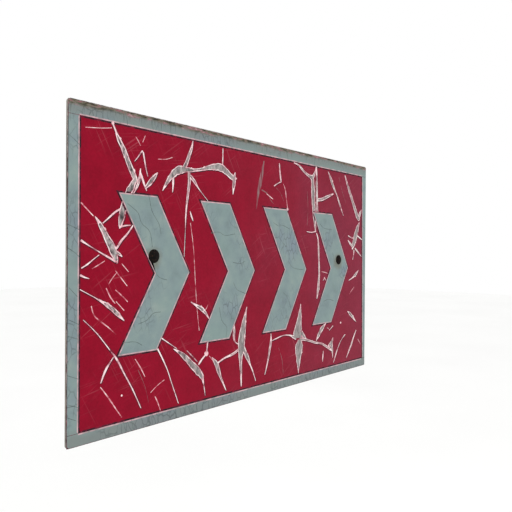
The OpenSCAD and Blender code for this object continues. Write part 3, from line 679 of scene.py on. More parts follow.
# White film gone grey-green: blue stains where water stood, algae, crazing, dark drips from the top
# edge, and a brown ring of rust water round each bolt. Heights are from the sign's middle.
pale_vinyl, tree, shader = start_material("vinyl_reflective_film_pale_weathered", IOR=1.49,
                                          Specular_IOR_Level=0.2)
place = add(tree, "TexCoord").outputs["Object"]
split = add(tree, "SeparateXYZ", {0: place})
mottle = add(tree, "TexNoise", {"Vector": place, "Scale": 34.0, "Detail": 5.0, "Roughness": 0.6})
base = add(tree, "ValToRGB", {0: mottle.outputs["Fac"]},
           [(0.30, "#708081"), (0.46, "#798a8b"), (0.60, "#7f908e"), (0.75, "#8a9893")])
pools = add(tree, "TexNoise", {"Vector": place, "Scale": 14.0, "Detail": 3.0, "Roughness": 0.5})
stain = add(tree, "MapRange", {"Value": pools.outputs["Fac"], "From Min": 0.54, "From Max": 0.70,
                               "To Max": 0.4})
blued = add(tree, "Mix", {"Factor": stain.outputs[0], 6: base.outputs[0], 7: colour("#757d90")},
            data_type="RGBA")
# Where the film stayed damp a thin bloom of algae has kept it lighter and greener.
algae = add(tree, "MapRange", {"Value": pools.outputs["Fac"], "From Min": 0.50, "From Max": 0.34,
                               "To Max": 0.5})
stained = add(tree, "Mix", {"Factor": algae.outputs[0], 6: blued.outputs[2], 7: colour("#7e938d")},
              data_type="RGBA")
# The top and bottom strips have lost some of their green to plain grey soil.
from_middle = add(tree, "Math", {0: split.outputs["Z"], 1: plate_middle_z}, operation="SUBTRACT")
off_middle = add(tree, "Math", {0: from_middle.outputs[0]}, operation="ABSOLUTE")
near_edge = add(tree, "Math", {0: mottle.outputs["Fac"], 1: 30 * MM, 2: off_middle.outputs[0]},
                operation="MULTIPLY_ADD")
soiled = add(tree, "MapRange", {"Value": near_edge.outputs[0], "From Min": 214 * MM,
                                "From Max": 230 * MM, "To Max": 0.65})
greyed = add(tree, "Mix", {"Factor": soiled.outputs[0], 6: stained.outputs[2], 7: colour("#717472")},
             data_type="RGBA")
# Crazing in cells about 9 mm across, in patches, and thickest along the foot of the sign.
wander = add(tree, "TexNoise", {"Vector": place, "Scale": 60.0, "Detail": 2.0})
shaken = add(tree, "Mix", {"Factor": 0.01, 4: place, 5: wander.outputs["Color"]}, data_type="VECTOR")
upright_cells = add(tree, "Mapping", {"Vector": shaken.outputs[1], "Scale": (1.0, 1.0, 0.5)})
cells = add(tree, "TexVoronoi", {"Vector": upright_cells.outputs[0], "Scale": 110.0},
            feature="DISTANCE_TO_EDGE")
lines = add(tree, "MapRange", {"Value": cells.outputs["Distance"], "From Min": 0.01, "From Max": 0.07,
                               "To Min": 1.0, "To Max": 0.0})
low_down = add(tree, "MapRange", {"Value": split.outputs["Z"], "From Min": plate_middle_z - 200 * MM,
                                  "From Max": plate_middle_z - 120 * MM, "To Min": 0.1, "To Max": 0.0})
patch_sum = add(tree, "Math", {0: pools.outputs["Fac"], 1: low_down.outputs[0]}, operation="ADD")
patch = add(tree, "MapRange", {"Value": patch_sum.outputs[0], "From Min": 0.5, "From Max": 0.62,
                               "To Max": 0.55})
craze = add(tree, "Math", {0: lines.outputs[0], 1: patch.outputs[0]}, operation="MULTIPLY")
crazed = add(tree, "Mix", {"Factor": craze.outputs[0], 6: greyed.outputs[2], 7: colour("#414a4b")},
             data_type="RGBA")
# Drips 1 to 2 mm wide and up to 14 mm long run down from the sign's top edge.
drip_place = add(tree, "Mapping", {"Vector": place, "Scale": (1.0, 1.0, 0.06)})
drip = add(tree, "TexNoise", {"Vector": drip_place.outputs[0], "Scale": 330.0, "Detail": 2.0})
from_top = add(tree, "MapRange", {"Value": split.outputs["Z"], "From Min": plate_middle_z + 205 * MM,
                                  "From Max": plate_middle_z + 223 * MM, "To Min": -0.14, "To Max": 0.09})
drip_sum = add(tree, "Math", {0: drip.outputs["Fac"], 1: from_top.outputs[0]}, operation="ADD")
dripping = add(tree, "MapRange", {"Value": drip_sum.outputs[0], "From Min": 0.54, "From Max": 0.68,
                                  "To Max": 0.55})
above = add(tree, "Math", {0: split.outputs["Z"], 1: plate_middle_z + 195 * MM},
            operation="GREATER_THAN")
drips_here = add(tree, "Math", {0: dripping.outputs[0], 1: above.outputs[0]}, operation="MULTIPLY")
dripped = add(tree, "Mix", {"Factor": drips_here.outputs[0], 6: crazed.outputs[2], 7: colour("#4d5552")},
              data_type="RGBA")
# Rust water spreads about 15 mm from each bolt, a little more below it and to its left.
flat_place = add(tree, "VectorMath", {0: place, 1: (1, 0, 1)}, operation="MULTIPLY")
rings = []
for spot in bolt_spots.values():
    away = add(tree, "VectorMath", {0: flat_place.outputs[0],
                                    1: (spot.x - 2 * MM, 0, spot.z - 3 * MM)}, operation="DISTANCE")
    rings.append(away.outputs["Value"])
nearest = add(tree, "Math", {0: rings[0], 1: rings[1]}, operation="MINIMUM")
blurred = add(tree, "Math", {0: mottle.outputs["Fac"], 1: 14 * MM, 2: nearest.outputs[0]},
              operation="MULTIPLY_ADD")
rusting = add(tree, "MapRange", {"Value": blurred.outputs[0], "From Min": 17 * MM, "From Max": 27 * MM,
                                 "To Min": 0.6, "To Max": 0.0})
rusty = add(tree, "Mix", {"Factor": rusting.outputs[0], 6: dripped.outputs[2], 7: colour("#6f6a5a")},
            data_type="RGBA")
caked = caked_with_dirt(tree, place, split, rusty.outputs[2])
tree.links.new(caked.outputs[2], shader.inputs["Base Color"])
rough = add(tree, "MapRange", {"Value": pools.outputs["Fac"], "To Min": 0.4, "To Max": 0.7})
tree.links.new(rough.outputs[0], shader.inputs["Roughness"])
relief = add(tree, "Bump", {"Height": mottle.outputs["Fac"], "Strength": 0.2, "Distance": 0.3 * MM})
tree.links.new(relief.outputs[0], shader.inputs["Normal"])

# The lifted cut edge of the same film: pinkish grey, because the red shows through it.
lifted_vinyl, tree, shader = start_material("vinyl_film_cut_edge_lifted", IOR=1.49, Roughness=0.6,
                                            Specular_IOR_Level=0.2)
place = add(tree, "TexCoord").outputs["Object"]
bits = add(tree, "TexNoise", {"Vector": place, "Scale": 90.0, "Detail": 4.0})
tones = add(tree, "ValToRGB", {0: bits.outputs["Fac"]},
            [(0.35, "#8a8282"), (0.46, "#ae9598"), (0.62, "#c9a7ac")])
tree.links.new(tones.outputs[0], shader.inputs["Base Color"])


# Where the inner edges of the upright strips stand.
inner_corners = (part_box("border_strip_left")[1].x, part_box("border_strip_right")[0].x)


def faces_red(node, spot):
    """Whether a point near the edge of this pale piece lies on the side where it meets the open red."""
    if "chevron" in node:
        return True
    low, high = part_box(node)
    if node.endswith(("top", "bottom")):
        return (abs(spot.z - plate_middle_z) < abs((low.z + high.z) / 2 - plate_middle_z)
                and inner_corners[0] < spot.x < inner_corners[1])
    return (abs(spot.x) < abs((low.x + high.x) / 2)
            and low.z + 2 * EDGE_LINE < spot.z < high.z - 2 * EDGE_LINE)


def slope_walls(piece, reach):
    """Moves the back corners of a flat piece outwards by reach, mitred, inside the plate's outline."""
    bpy.ops.object.mode_set(mode="EDIT")
    mesh = bmesh.from_edit_mesh(piece.data)
    back = max(vert.co.y for vert in mesh.verts)
    ways = {}
    for vert in mesh.verts:
        walls = [face.normal for face in vert.link_faces if abs(face.normal.y) < 0.5]
        if vert.co.y > back - CLOSE and walls:
            first, last = walls[0], max(walls, key=lambda wall: wall.angle(walls[0]))
            ways[vert] = (first + last) / (1 + first.dot(last)) * reach
    for vert, way in ways.items():
        vert.co += way
        vert.co.x = max(face_low.x + INSIDE, min(face_high.x - INSIDE, vert.co.x))
        vert.co.z = max(face_low.z + INSIDE, min(face_high.z - INSIDE, vert.co.z))
    bmesh.update_edit_mesh(piece.data)


for node in PALE_NODES:
    pale = remade(node, node + "_film")
    dress(pale, pale_vinyl, lifted_vinyl, dirt_and_painted_shadow)
    pick_faces(pale, lambda face: face.normal.y < -0.9)
    bpy.ops.mesh.inset(thickness=EDGE_LINE, use_even_offset=True)
    pick_faces(pale, lambda face: face.normal.y < -0.9 and not face.select)
    pale.active_material_index = 1
    bpy.ops.object.material_slot_assign()
    # The long strips are divided where the upright strips meet them, because only the part between
    # those has a lifted edge.
    if node.endswith(("top", "bottom")):
        for corner_x in inner_corners:
            bpy.ops.mesh.select_all(action="SELECT")
            bpy.ops.mesh.bisect(plane_co=(corner_x, 0, 0), plane_no=(1, 0, 0))
    pick_faces(pale, lambda face: (face.material_index == 1
                                   and not faces_red(node, face.calc_center_median())))
    pale.active_material_index = 0
    bpy.ops.object.material_slot_assign()
    # The wall of the cut slopes out over the red and is coloured dark, as a dark line along the cut edge.
    pick_faces(pale, lambda face: abs(face.normal.y) < 0.9)
    pale.active_material_index = 2
    bpy.ops.object.material_slot_assign()
    slope_walls(pale, DARK_EDGE_LINE)
    bpy.ops.object.mode_set(mode="OBJECT")
    pale.select_set(False)
    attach(pale, "sign_board")


# ---------------------------------------------------------------------------------------------
# Curled flakes: along the wider tears the broken film has shrunk into little tongues that fold back
# over the red, showing their pale underside and casting small shadows.

FLAKE_STEP = 26.0    # mm along a tear between places where a tongue may stand
FLAKE_FROM = 2.6     # mm, half the width of the narrowest tear that has tongues
FLAKE_T = 0.2 * MM   # thickness of a tongue


def tongue(name, foot, away, width, length, rise):
    """A tongue of film hinged at foot, folded back along away and curling up to about rise, in mm."""
    across = Vector((-away.y, away.x))
    rows = []
    for k in range(5):
        t = k / 4
        out = length * math.sin(t * 1.3) / 1.3
        up = rise * (1 - math.cos(t * 1.5))
        half = width * (1 - t ** 1.6 * 0.9)
        middle = foot + away * out
        for side in (-1, 1):
            spot = middle + across * side * half
            rows.append((spot.x * MM, sheet_front - up * MM - 0.1 * MM, spot.y * MM + plate_middle_z))
    mesh = bpy.data.meshes.new(name)
    mesh.from_pydata(rows, [], [(2 * k, 2 * k + 1, 2 * k + 3, 2 * k + 2) for k in range(4)])
    piece = bpy.data.objects.new(name, mesh)
    bpy.context.collection.objects.link(piece)
    return piece


pale_pieces = [bpy.data.objects[node + "_film"] for node in PALE_NODES]
flakes = []
chance = random.Random(17)
for path in TEARS:
    points = stroke_points(path)
    gone = 0.0
    for (x0, z0, half), (x1, z1, _) in zip(points, points[1:]):
        gone += math.dist((x0, z0), (x1, z1))
        if gone < FLAKE_STEP or half < FLAKE_FROM:
            continue
        gone = chance.uniform(0, 8)
        run = Vector((x1 - x0, z1 - z0)).normalized()
        side = chance.choice((-1, 1))
        away = (Vector((-run.y, run.x)) * side + run * chance.uniform(-0.5, 0.5)).normalized()
        foot = Vector((x0, z0)) + Vector((-run.y, run.x)) * side * half * 0.9
        width, length, rise = chance.uniform(1.6, 3.4), chance.uniform(0.8, 2.0), chance.uniform(0.4, 1.2)
        tip = foot + away * length
        start = Vector((tip.x * MM, plate_front - 20 * MM, tip.y * MM + plate_middle_z))
        if any(pale.ray_cast(start, Vector((0, 1, 0)))[0] for pale in pale_pieces):
            continue
        flakes.append(tongue("tongue", foot, away, width, length, rise))
bpy.ops.object.select_all(action="DESELECT")
for flake in flakes:
    flake.select_set(True)
curled_flakes = flakes[0]
bpy.context.view_layer.objects.active = curled_flakes
bpy.ops.object.join()
curled_flakes.name = "curled_flakes"
thicken = curled_flakes.modifiers.new("film", "SOLIDIFY")
thicken.thickness = FLAKE_T
bpy.ops.object.modifier_apply(modifier=thicken.name)
curled_flakes.select_set(False)
dress(curled_flakes, torn_vinyl)
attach(curled_flakes, "sign_board")


# ---------------------------------------------------------------------------------------------
# Blisters: spots where the film's facing has let go in a small bubble, gone white and wrinkled. Each
# is a low dome whose foot is sunk in the film.

# x and z from the plate's middle, and the radius, in mm
BLISTERS = [(-127, -134, 4.3), (-307, 204, 2.4), (273, -120, 2.4), (-290, -171, 1.5)]
SWELL = 0.35      # a blister's height over its radius
FOOT = 0.05 * MM  # how deep its foot is sunk
blisters = []
for x, z, radius in BLISTERS:
    bpy.ops.mesh.primitive_uv_sphere_add(segments=40, ring_count=20, radius=radius * MM,
                                         location=(x * MM, sheet_front, z * MM + plate_middle_z),
                                         rotation=(math.pi / 2, 0, 0))
    blister = bpy.context.active_object
    blister.scale = (1, 1, SWELL)
    bpy.ops.object.transform_apply(location=True, rotation=True, scale=True)
    bpy.ops.object.mode_set(mode="EDIT")
    bpy.ops.mesh.select_all(action="SELECT")
    bpy.ops.mesh.bisect(plane_co=(0, sheet_front + FOOT, 0), plane_no=(0, 1, 0), use_fill=True,
                        clear_outer=True)
    bpy.ops.mesh.select_all(action="SELECT")
    bpy.ops.mesh.remove_doubles(threshold=0.02 * MM)
    bpy.ops.mesh.normals_make_consistent(inside=False)
    bpy.ops.object.mode_set(mode="OBJECT")
    blister.select_set(False)
    blisters.append(blister)
for blister in blisters:
    blister.select_set(True)
all_blisters = blisters[0]
bpy.context.view_layer.objects.active = all_blisters
bpy.ops.object.join()
all_blisters.name = "blisters"
wrinkles = bpy.data.textures.new("wrinkles", "CLOUDS")
wrinkles.noise_scale = 0.002
crumple = all_blisters.modifiers.new("wrinkles", "DISPLACE")
crumple.texture = wrinkles
crumple.texture_coords = "LOCAL"
crumple.strength = 0.5 * MM
crumple.mid_level = 0.6
bpy.ops.object.modifier_apply(modifier=crumple.name)
bpy.ops.object.shade_smooth()
all_blisters.select_set(False)
dress(all_blisters, torn_vinyl)
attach(all_blisters, "sign_board")


# ---------------------------------------------------------------------------------------------
# Hair cracks in the pale film: it shrank and split across its strips and symbols, and dirt has filled
# the splits, so each is a thin dark line flush with the film.

# Strokes again: x and z in mm from the plate's middle, and half the split's width.
SPLITS = [
    # border: left side, top, bottom and right side
    [(-374, 178, 0.3), (-366, 173, 0.5), (-358, 167, 0.3)], [(-374, 63, 0.3), (-358, 57, 0.4)],
    [(-374, 33, 0.3), (-364, 27, 0.5), (-358, 22, 0.3)], [(-372, -18, 0.5), (-360, -30, 0.4)],
    [(-374, -58, 0.3), (-358, -66, 0.4)], [(-373, -80, 0.4), (-359, -85, 0.3)],
    [(-374, -130, 0.3), (-358, -137, 0.4)], [(-372, -168, 0.5), (-358, -174, 0.4)],
    [(-374, -184, 0.3), (-362, -190, 0.4)], [(-287, 221, 0.3), (-284, 213, 0.5), (-283, 206, 0.3)],
    [(-240, 221, 0.3), (-238, 206, 0.4)], [(-116, 221, 0.4), (-113, 205, 0.3)],
    [(80, 221, 0.3), (84, 204, 0.4)], [(170, 220, 0.4), (171, 204, 0.3)],
    [(-287, -209, 0.3), (-283, -223, 0.5)], [(-273, -209, 0.4), (-270, -223, 0.3)],
    [(-237, -208, 0.5), (-232, -216, 0.4), (-230, -224, 0.3)], [(-228, -209, 0.3), (-225, -222, 0.4)],
    [(-150, -208, 0.4), (-146, -223, 0.3)], [(40, -208, 0.3), (42, -222, 0.4)],
    [(361, 90, 0.3), (374, 84, 0.4)], [(362, -40, 0.4), (374, -46, 0.3)],
    # chevrons
    [(-282, 96, 0.3), (-264, 84, 0.45), (-258, 70, 0.4), (-243, 58, 0.5), (-238, 36, 0.3)],
    [(-244, 108, 0.3), (-239, 88, 0.45), (-226, 70, 0.45), (-222, 56, 0.3)],
    [(-236, 6, 0.3), (-226, -8, 0.45), (-210, -13, 0.3)],
    [(-262, -74, 0.3), (-247, -70, 0.5), (-236, -61, 0.45), (-222, -60, 0.3)],
    [(-288, -98, 0.3), (-268, -99, 0.45), (-256, -105, 0.3)],
    [(-118, 60, 0.3), (-100, 62, 0.45), (-86, 57, 0.45), (-62, 60, 0.3)],
    [(-66, 12, 0.3), (-48, 10, 0.45), (-36, 14, 0.3)],
    [(-64, -22, 0.3), (-56, -34, 0.45), (-34, -42, 0.3)],
    [(-98, -62, 0.3), (-92, -84, 0.45), (-80, -96, 0.45), (-82, -112, 0.3)],
    [(42, 84, 0.3), (58, 78, 0.45), (70, 80, 0.45), (90, 74, 0.3)],
    [(88, 12, 0.3), (104, 0, 0.45), (136, -4, 0.3)], [(72, -46, 0.3), (84, -54, 0.45), (96, -76, 0.3)],
    [(192, 88, 0.3), (206, 80, 0.45), (236, 78, 0.3)], [(240, 30, 0.3), (245, 14, 0.45), (258, 2, 0.3)],
    [(208, -70, 0.3), (224, -67, 0.45), (244, -71, 0.3)],
]
SOOT_T = 0.03 * MM  # just enough for the soot to cover the film
film_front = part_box("chevron_1")[0].y
hair_cracks = outlined("hair_cracks", stroke_outlines(SPLITS), [], film_front - SOOT_T)

# Soot packed into the splits, bluish against the pale film.
soot, tree, shader = start_material("soot_in_film_cracks", Roughness=0.9, Specular_IOR_Level=0.2)
place = add(tree, "TexCoord").outputs["Object"]
fill = add(tree, "TexNoise", {"Vector": place, "Scale": 110.0, "Detail": 3.0})
fills = add(tree, "ValToRGB", {0: fill.outputs["Fac"]}, [(0.35, "#3c474b"), (0.6, "#65726e")])
tree.links.new(fills.outputs[0], shader.inputs["Base Color"])
dress(hair_cracks, soot)
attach(hair_cracks, "sign_board")


# ---------------------------------------------------------------------------------------------
# The face bolts: M10 cup heads with a square neck that keys in the punched hole. Plain steel once
# plated, they have rusted nearly black, and the rust has pitted the heads.

CUP_R = 10.3        # mm, radius of the head
CUP_RIM = 0.35      # mm, thickness of the head's rim
SHANK = 5.0         # mm, radius of an M10 thread's crest
PLAIN = 8.0         # mm of plain shank behind the head
PITCH = 1.5         # mm, pitch of the thread
THREAD_T = 0.75     # mm, depth of the thread
NECK = 5 * MM       # half the side of the square neck
NECK_T = 3.6 * MM   # length of the neck
FORGED = 0.5 * MM   # rounding of a forged neck's edges


def turned(name, start, profile, sides=48):
    """A round piece about the Y axis through start, from rings of (radius, y on from start) in mm."""
    first = profile[0]
    bpy.ops.mesh.primitive_circle_add(vertices=sides, radius=first[0] * MM, fill_type="NGON",
                                      location=start + Vector((0, first[1] * MM, 0)),
                                      rotation=(math.pi / 2, 0, 0))
    piece = bpy.context.active_object
    piece.name = name
    bpy.ops.object.transform_apply(location=True, rotation=True, scale=True)
    bpy.ops.object.mode_set(mode="EDIT")
    bpy.ops.mesh.select_mode(type="FACE")
    bpy.ops.mesh.select_all(action="SELECT")
    for (r0, y0), (r1, y1) in zip(profile, profile[1:]):
        bpy.ops.mesh.extrude_region_move(TRANSFORM_OT_translate={"value": (0, (y1 - y0) * MM, 0)})
        bpy.ops.transform.resize(value=(r1 / r0, 1, r1 / r0), center_override=start)
    bpy.ops.mesh.select_all(action="SELECT")
    bpy.ops.mesh.normals_make_consistent(inside=False)
    bpy.ops.object.mode_set(mode="OBJECT")
    piece.select_set(False)
    return piece


def block(name, low, high, edge):
    """A block between two corners with its edges rounded."""
    bpy.ops.mesh.primitive_cube_add(size=1, location=(low + high) / 2)
    piece = bpy.context.active_object
    piece.name = name
    piece.scale = high - low
    bpy.ops.object.transform_apply(location=True, rotation=True, scale=True)
    bpy.ops.object.mode_set(mode="EDIT")
    bpy.ops.mesh.select_all(action="SELECT")
    bpy.ops.mesh.bevel(offset=edge, segments=3, affect="EDGES")
    bpy.ops.object.mode_set(mode="OBJECT")
    piece.select_set(False)
    return piece


def thread_rings(y_from, y_to, radius):
    """Rings of a thread, in mm, with a chamfered end; it is drawn as rings, not as one helix."""
    rings = []
    y = y_from
    root = radius - THREAD_T
    while y < y_to - 1.6:
        rings += [(radius, y), (radius, y + 0.3), (root, y + 0.75), (root, y + 0.9)]
        y += PITCH
    return rings + [(radius, y_to - 1.5), (radius - 0.2, y_to - 1.0), (radius - 1.4, y_to)]


low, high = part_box("face_bolt_left")
length = (high.y - low.y) / MM
cup_h = (film_front - low.y) / MM
ball = (CUP_R ** 2 + cup_h ** 2) / (2 * cup_h)  # radius of the sphere that the head is a cap of
thread_from = cup_h + PLAIN
profile = []
for step in range(1, 12):
    depth = cup_h * (step / 11) ** 1.7
    profile.append((math.sqrt(ball ** 2 - (ball - depth) ** 2), depth))
profile[-1] = (CUP_R, cup_h - CUP_RIM)
profile += [(CUP_R - 0.1, cup_h), (SHANK, cup_h), (SHANK, thread_from)]
profile += thread_rings(thread_from, length, SHANK)[1:]
face_bolt = turned("face_bolt_left_rusted", bolt_spots["left"], profile)
neck = block("neck", bolt_spots["left"] + Vector((-NECK, cup_h * MM - 0.05 * MM, -NECK)),
             bolt_spots["left"] + Vector((NECK, cup_h * MM + NECK_T, NECK)), FORGED)
combine(face_bolt, [neck], "UNION")

# Rust pits about 3 mm across and a quarter of a millimetre deep.
pits = bpy.data.textures.new("rust_pits", "CLOUDS")
pits.noise_scale = 0.003
pitting = face_bolt.modifiers.new("pits", "DISPLACE")
pitting.texture = pits
pitting.texture_coords = "LOCAL"
pitting.strength = 0.45 * MM
pitting.mid_level = 1.0
bpy.context.view_layer.objects.active = face_bolt
bpy.ops.object.modifier_apply(modifier=pitting.name)

# Old rust: nearly black magnetite with brown bloom in the pits, dull all over.
rust, tree, shader = start_material("mild_steel_rusted_black_brown", Specular_IOR_Level=0.08)
place = add(tree, "TexCoord").outputs["Object"]
bloom = add(tree, "TexNoise", {"Vector": place, "Scale": 330.0, "Detail": 5.0, "Roughness": 0.65})
browns = add(tree, "ValToRGB", {0: bloom.outputs["Fac"]},
             [(0.35, "#060505"), (0.5, "#0e0a09"), (0.62, "#221812"), (0.74, "#4a2f20")])
# Behind the plate, out of the rain, the zinc plating is still there and has only dulled.
split = add(tree, "SeparateXYZ", {0: place})
sheltered = add(tree, "Math", {0: split.outputs["Y"], 1: plate_back + 1 * MM}, operation="GREATER_THAN")
dulled = add(tree, "ValToRGB", {0: bloom.outputs["Fac"]},
             [(0.35, "#857f76"), (0.55, "#a2a2a1"), (0.7, "#b0b2b4")])
shank = add(tree, "Mix", {"Factor": sheltered.outputs[0], 6: browns.outputs[0], 7: dulled.outputs[0]},
            data_type="RGBA")
tree.links.new(shank.outputs[2], shader.inputs["Base Color"])
plated = add(tree, "Math", {0: sheltered.outputs[0], 1: 0.8}, operation="MULTIPLY")
tree.links.new(plated.outputs[0], shader.inputs["Metallic"])
rough = add(tree, "MapRange", {"Value": bloom.outputs["Fac"], "To Min": 0.5, "To Max": 0.95})
tree.links.new(rough.outputs[0], shader.inputs["Roughness"])
scale = add(tree, "Bump", {"Height": bloom.outputs["Fac"], "Strength": 0.5, "Distance": 0.4 * MM})
tree.links.new(scale.outputs[0], shader.inputs["Normal"])
dress(face_bolt, rust)


def copied(piece, name, way):
    """A copy of a piece with its own mesh, moved by way."""
    twin = piece.copy()
    twin.data = piece.data.copy()
    twin.name = name
    twin.data.transform(Matrix.Translation(way))
    bpy.context.collection.objects.link(twin)
    return twin


def smoothed(piece, angle=35):
    """Smooth shading, except over edges sharper than the angle in degrees."""
    bpy.ops.object.select_all(action="DESELECT")
    piece.select_set(True)
    bpy.context.view_layer.objects.active = piece
    bpy.ops.object.shade_smooth_by_angle(angle=math.radians(angle))
    piece.select_set(False)


smoothed(face_bolt)
other_bolt = copied(face_bolt, "face_bolt_right_rusted", bolt_spots["right"] - bolt_spots["left"])
for bolt, side in ((face_bolt, "left"), (other_bolt, "right")):
    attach(bolt, "sign_board")
    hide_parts("face_bolt_" + side)


# ---------------------------------------------------------------------------------------------
# The rail: lipped steel channel, rolled from strip and hot-dip galvanised, with a punched upright
# slot in its web for each face bolt. Rolling leaves its corners round and dipping softens every edge.

def soften(piece, radius):
    """Rounds a piece's sharp edges and shades it smooth."""
    bevel = piece.modifiers.new("edges", "BEVEL")
    bevel.width = radius
    bevel.segments = 2
    bevel.limit_method = "ANGLE"
    bevel.angle_limit = math.radians(40)
    bpy.ops.object.modifier_apply(modifier=bevel.name)
    smoothed(piece)


# Hot-dip zinc, weathered: crystals of spangle about 9 mm across, dulled, with chalky white rust.
zinc_coat, tree, shader = start_material("steel_hot_dip_galvanised_weathered")
place = add(tree, "TexCoord").outputs["Object"]
spangle = add(tree, "TexVoronoi", {"Vector": place, "Scale": 110.0, "Randomness": 1.0})
crystal = add(tree, "SeparateColor", {0: spangle.outputs["Color"]})
greys = add(tree, "ValToRGB", {0: crystal.outputs[0]},
            [(0.0, "#8a8f92"), (0.5, "#9ba0a3"), (1.0, "#aeb3b5")])
chalky = add(tree, "TexNoise", {"Vector": place, "Scale": 28.0, "Detail": 6.0, "Roughness": 0.65})
white_rust = add(tree, "MapRange", {"Value": chalky.outputs["Fac"], "From Min": 0.52, "From Max": 0.66,
                                    "To Max": 0.7})
coat = add(tree, "Mix", {"Factor": white_rust.outputs[0], 6: greys.outputs[0], 7: colour("#b6b8b5")},
           data_type="RGBA")
tree.links.new(coat.outputs[2], shader.inputs["Base Color"])
metal = add(tree, "MapRange", {"Value": white_rust.outputs[0], "To Min": 0.9, "To Max": 0.35})
tree.links.new(metal.outputs[0], shader.inputs["Metallic"])
rough = add(tree, "MapRange", {"Value": crystal.outputs[1], "To Min": 0.42, "To Max": 0.62})
tree.links.new(rough.outputs[0], shader.inputs["Roughness"])
ripples = add(tree, "Bump", {"Height": chalky.outputs["Fac"], "Strength": 0.25, "Distance": 0.3 * MM})
tree.links.new(ripples.outputs[0], shader.inputs["Normal"])

ROLLED = 0.4 * MM  # rounding of the channel's cut edges under the zinc
rail = remade("rail", "rail_galvanised")
soften(rail, ROLLED)
dress(rail, zinc_coat)
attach(rail, "sign_board")


# ---------------------------------------------------------------------------------------------
# Washers and nuts: M10, 20 mm washers and 17 mm nuts, zinc plated. Two pairs clamp the rail to the
# face bolts and two pairs clamp the strap's ears to the hammer-head bolts. All are alike.

# Bright zinc plate, gone slightly blotchy: bluish grey with faint yellow stains and a fine grain.
zinc_plate, tree, shader = start_material("steel_bright_zinc_plated", Metallic=1.0)
place = add(tree, "TexCoord").outputs["Object"]
blotch = add(tree, "TexNoise", {"Vector": place, "Scale": 90.0, "Detail": 5.0})
blues = add(tree, "ValToRGB", {0: blotch.outputs["Fac"]},
            [(0.32, "#a8a18e"), (0.45, "#b3b6ba"), (0.6, "#c1c5ca"), (0.72, "#9c9fa2")])
tree.links.new(blues.outputs[0], shader.inputs["Base Color"])
rough = add(tree, "MapRange", {"Value": blotch.outputs["Fac"], "To Min": 0.25, "To Max": 0.5})
tree.links.new(rough.outputs[0], shader.inputs["Roughness"])
grain = add(tree, "TexNoise", {"Vector": place, "Scale": 900.0, "Detail": 2.0})
dimples = add(tree, "Bump", {"Height": grain.outputs["Fac"], "Strength": 0.15, "Distance": 0.2 * MM})
tree.links.new(dimples.outputs[0], shader.inputs["Normal"])


def middle_of(node):
    """The middle of a CAD node's box."""
    low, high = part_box(node)
    return (low + high) / 2


WASHER_R = 10      # mm
WASHER_BORE = 5.5  # mm, radius
BURR = 0.3         # mm, the rounded edge that stamping leaves
low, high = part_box("rail_washer_left")
seat = Vector((middle_of("rail_washer_left").x, low.y, middle_of("rail_washer_left").z))
thick = (high.y - low.y) / MM
washer = turned("rail_washer_left_plated", seat, [(WASHER_R - BURR, 0), (WASHER_R, BURR),
                                                  (WASHER_R, thick - BURR), (WASHER_R - BURR, thick)])
combine(washer, [turned("bore", seat, [(WASHER_BORE, -1), (WASHER_BORE, thick + 1)])], "DIFFERENCE")
smoothed(washer)
dress(washer, zinc_plate)

NUT_FLAT = 8.1    # mm, radius where the nut's chamfer meets its flat face
NUT_BORE = 5.06   # mm, radius, just clear of the bolt
NUT_MOUTH = 5.9   # mm, radius of the countersink at each end of the bore
low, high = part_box("face_nut_left")
seat = Vector((middle_of("face_nut_left").x, low.y, middle_of("face_nut_left").z))
tall = (high.y - low.y) / MM
corner = (high.z - low.z) / 2 / MM
bpy.ops.mesh.primitive_cylinder_add(vertices=6, radius=corner * MM, depth=tall * MM,
                                    location=seat + Vector((0, tall / 2 * MM, 0)),
                                    rotation=(math.pi / 2, 0, 0))
nut = bpy.context.active_object
nut.name = "face_nut_left_plated"
bpy.ops.object.transform_apply(location=True, rotation=True, scale=True)
nut.select_set(False)
rounded = turned("chamfer", seat, [(NUT_FLAT, 0), (corner + 0.1, 1.0), (corner + 0.1, tall - 1.0),
                                   (NUT_FLAT, tall)])
combine(nut, [rounded], "INTERSECT")
bore = turned("bore", seat, [(NUT_MOUTH, -0.1), (NUT_BORE, 0.8), (NUT_BORE, tall - 0.8),
                             (NUT_MOUTH, tall + 0.1)])
combine(nut, [bore], "DIFFERENCE")
smoothed(nut)
dress(nut, zinc_plate)

for thing, first, others in (
        (washer, "rail_washer_left", ("rail_washer_right", "clip_washer_left", "clip_washer_right")),
        (nut, "face_nut_left", ("face_nut_right", "clip_nut_left", "clip_nut_right"))):
    pieces = {first: thing}
    for node in others:
        pieces[node] = copied(thing, node + "_plated", middle_of(node) - middle_of(first))
    for node, piece in pieces.items():
        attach(piece, "post_clip" if node.startswith("clip") else "sign_board")
        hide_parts(node)


# ---------------------------------------------------------------------------------------------
# The rail's end caps: injection-moulded black plastic, a lid with a shallow sunk panel and a plug
# that is pushed into the channel.

# Black polypropylene, slightly greyed by the sun, with the fine grain of the mould.
black_plastic, tree, shader = start_material("polypropylene_moulded_black", IOR=1.49)
place = add(tree, "TexCoord").outputs["Object"]
bloom = add(tree, "TexNoise", {"Vector": place, "Scale": 60.0, "Detail": 4.0})
blacks = add(tree, "ValToRGB", {0: bloom.outputs["Fac"]}, [(0.35, "#1b1c1e"), (0.65, "#303133")])
tree.links.new(blacks.outputs[0], shader.inputs["Base Color"])
rough = add(tree, "MapRange", {"Value": bloom.outputs["Fac"], "To Min": 0.45, "To Max": 0.65})
tree.links.new(rough.outputs[0], shader.inputs["Roughness"])
mould = add(tree, "TexNoise", {"Vector": place, "Scale": 1500.0, "Detail": 1.0})
texture = add(tree, "Bump", {"Height": mould.outputs["Fac"], "Strength": 0.2, "Distance": 0.15 * MM})
tree.links.new(texture.outputs[0], shader.inputs["Normal"])

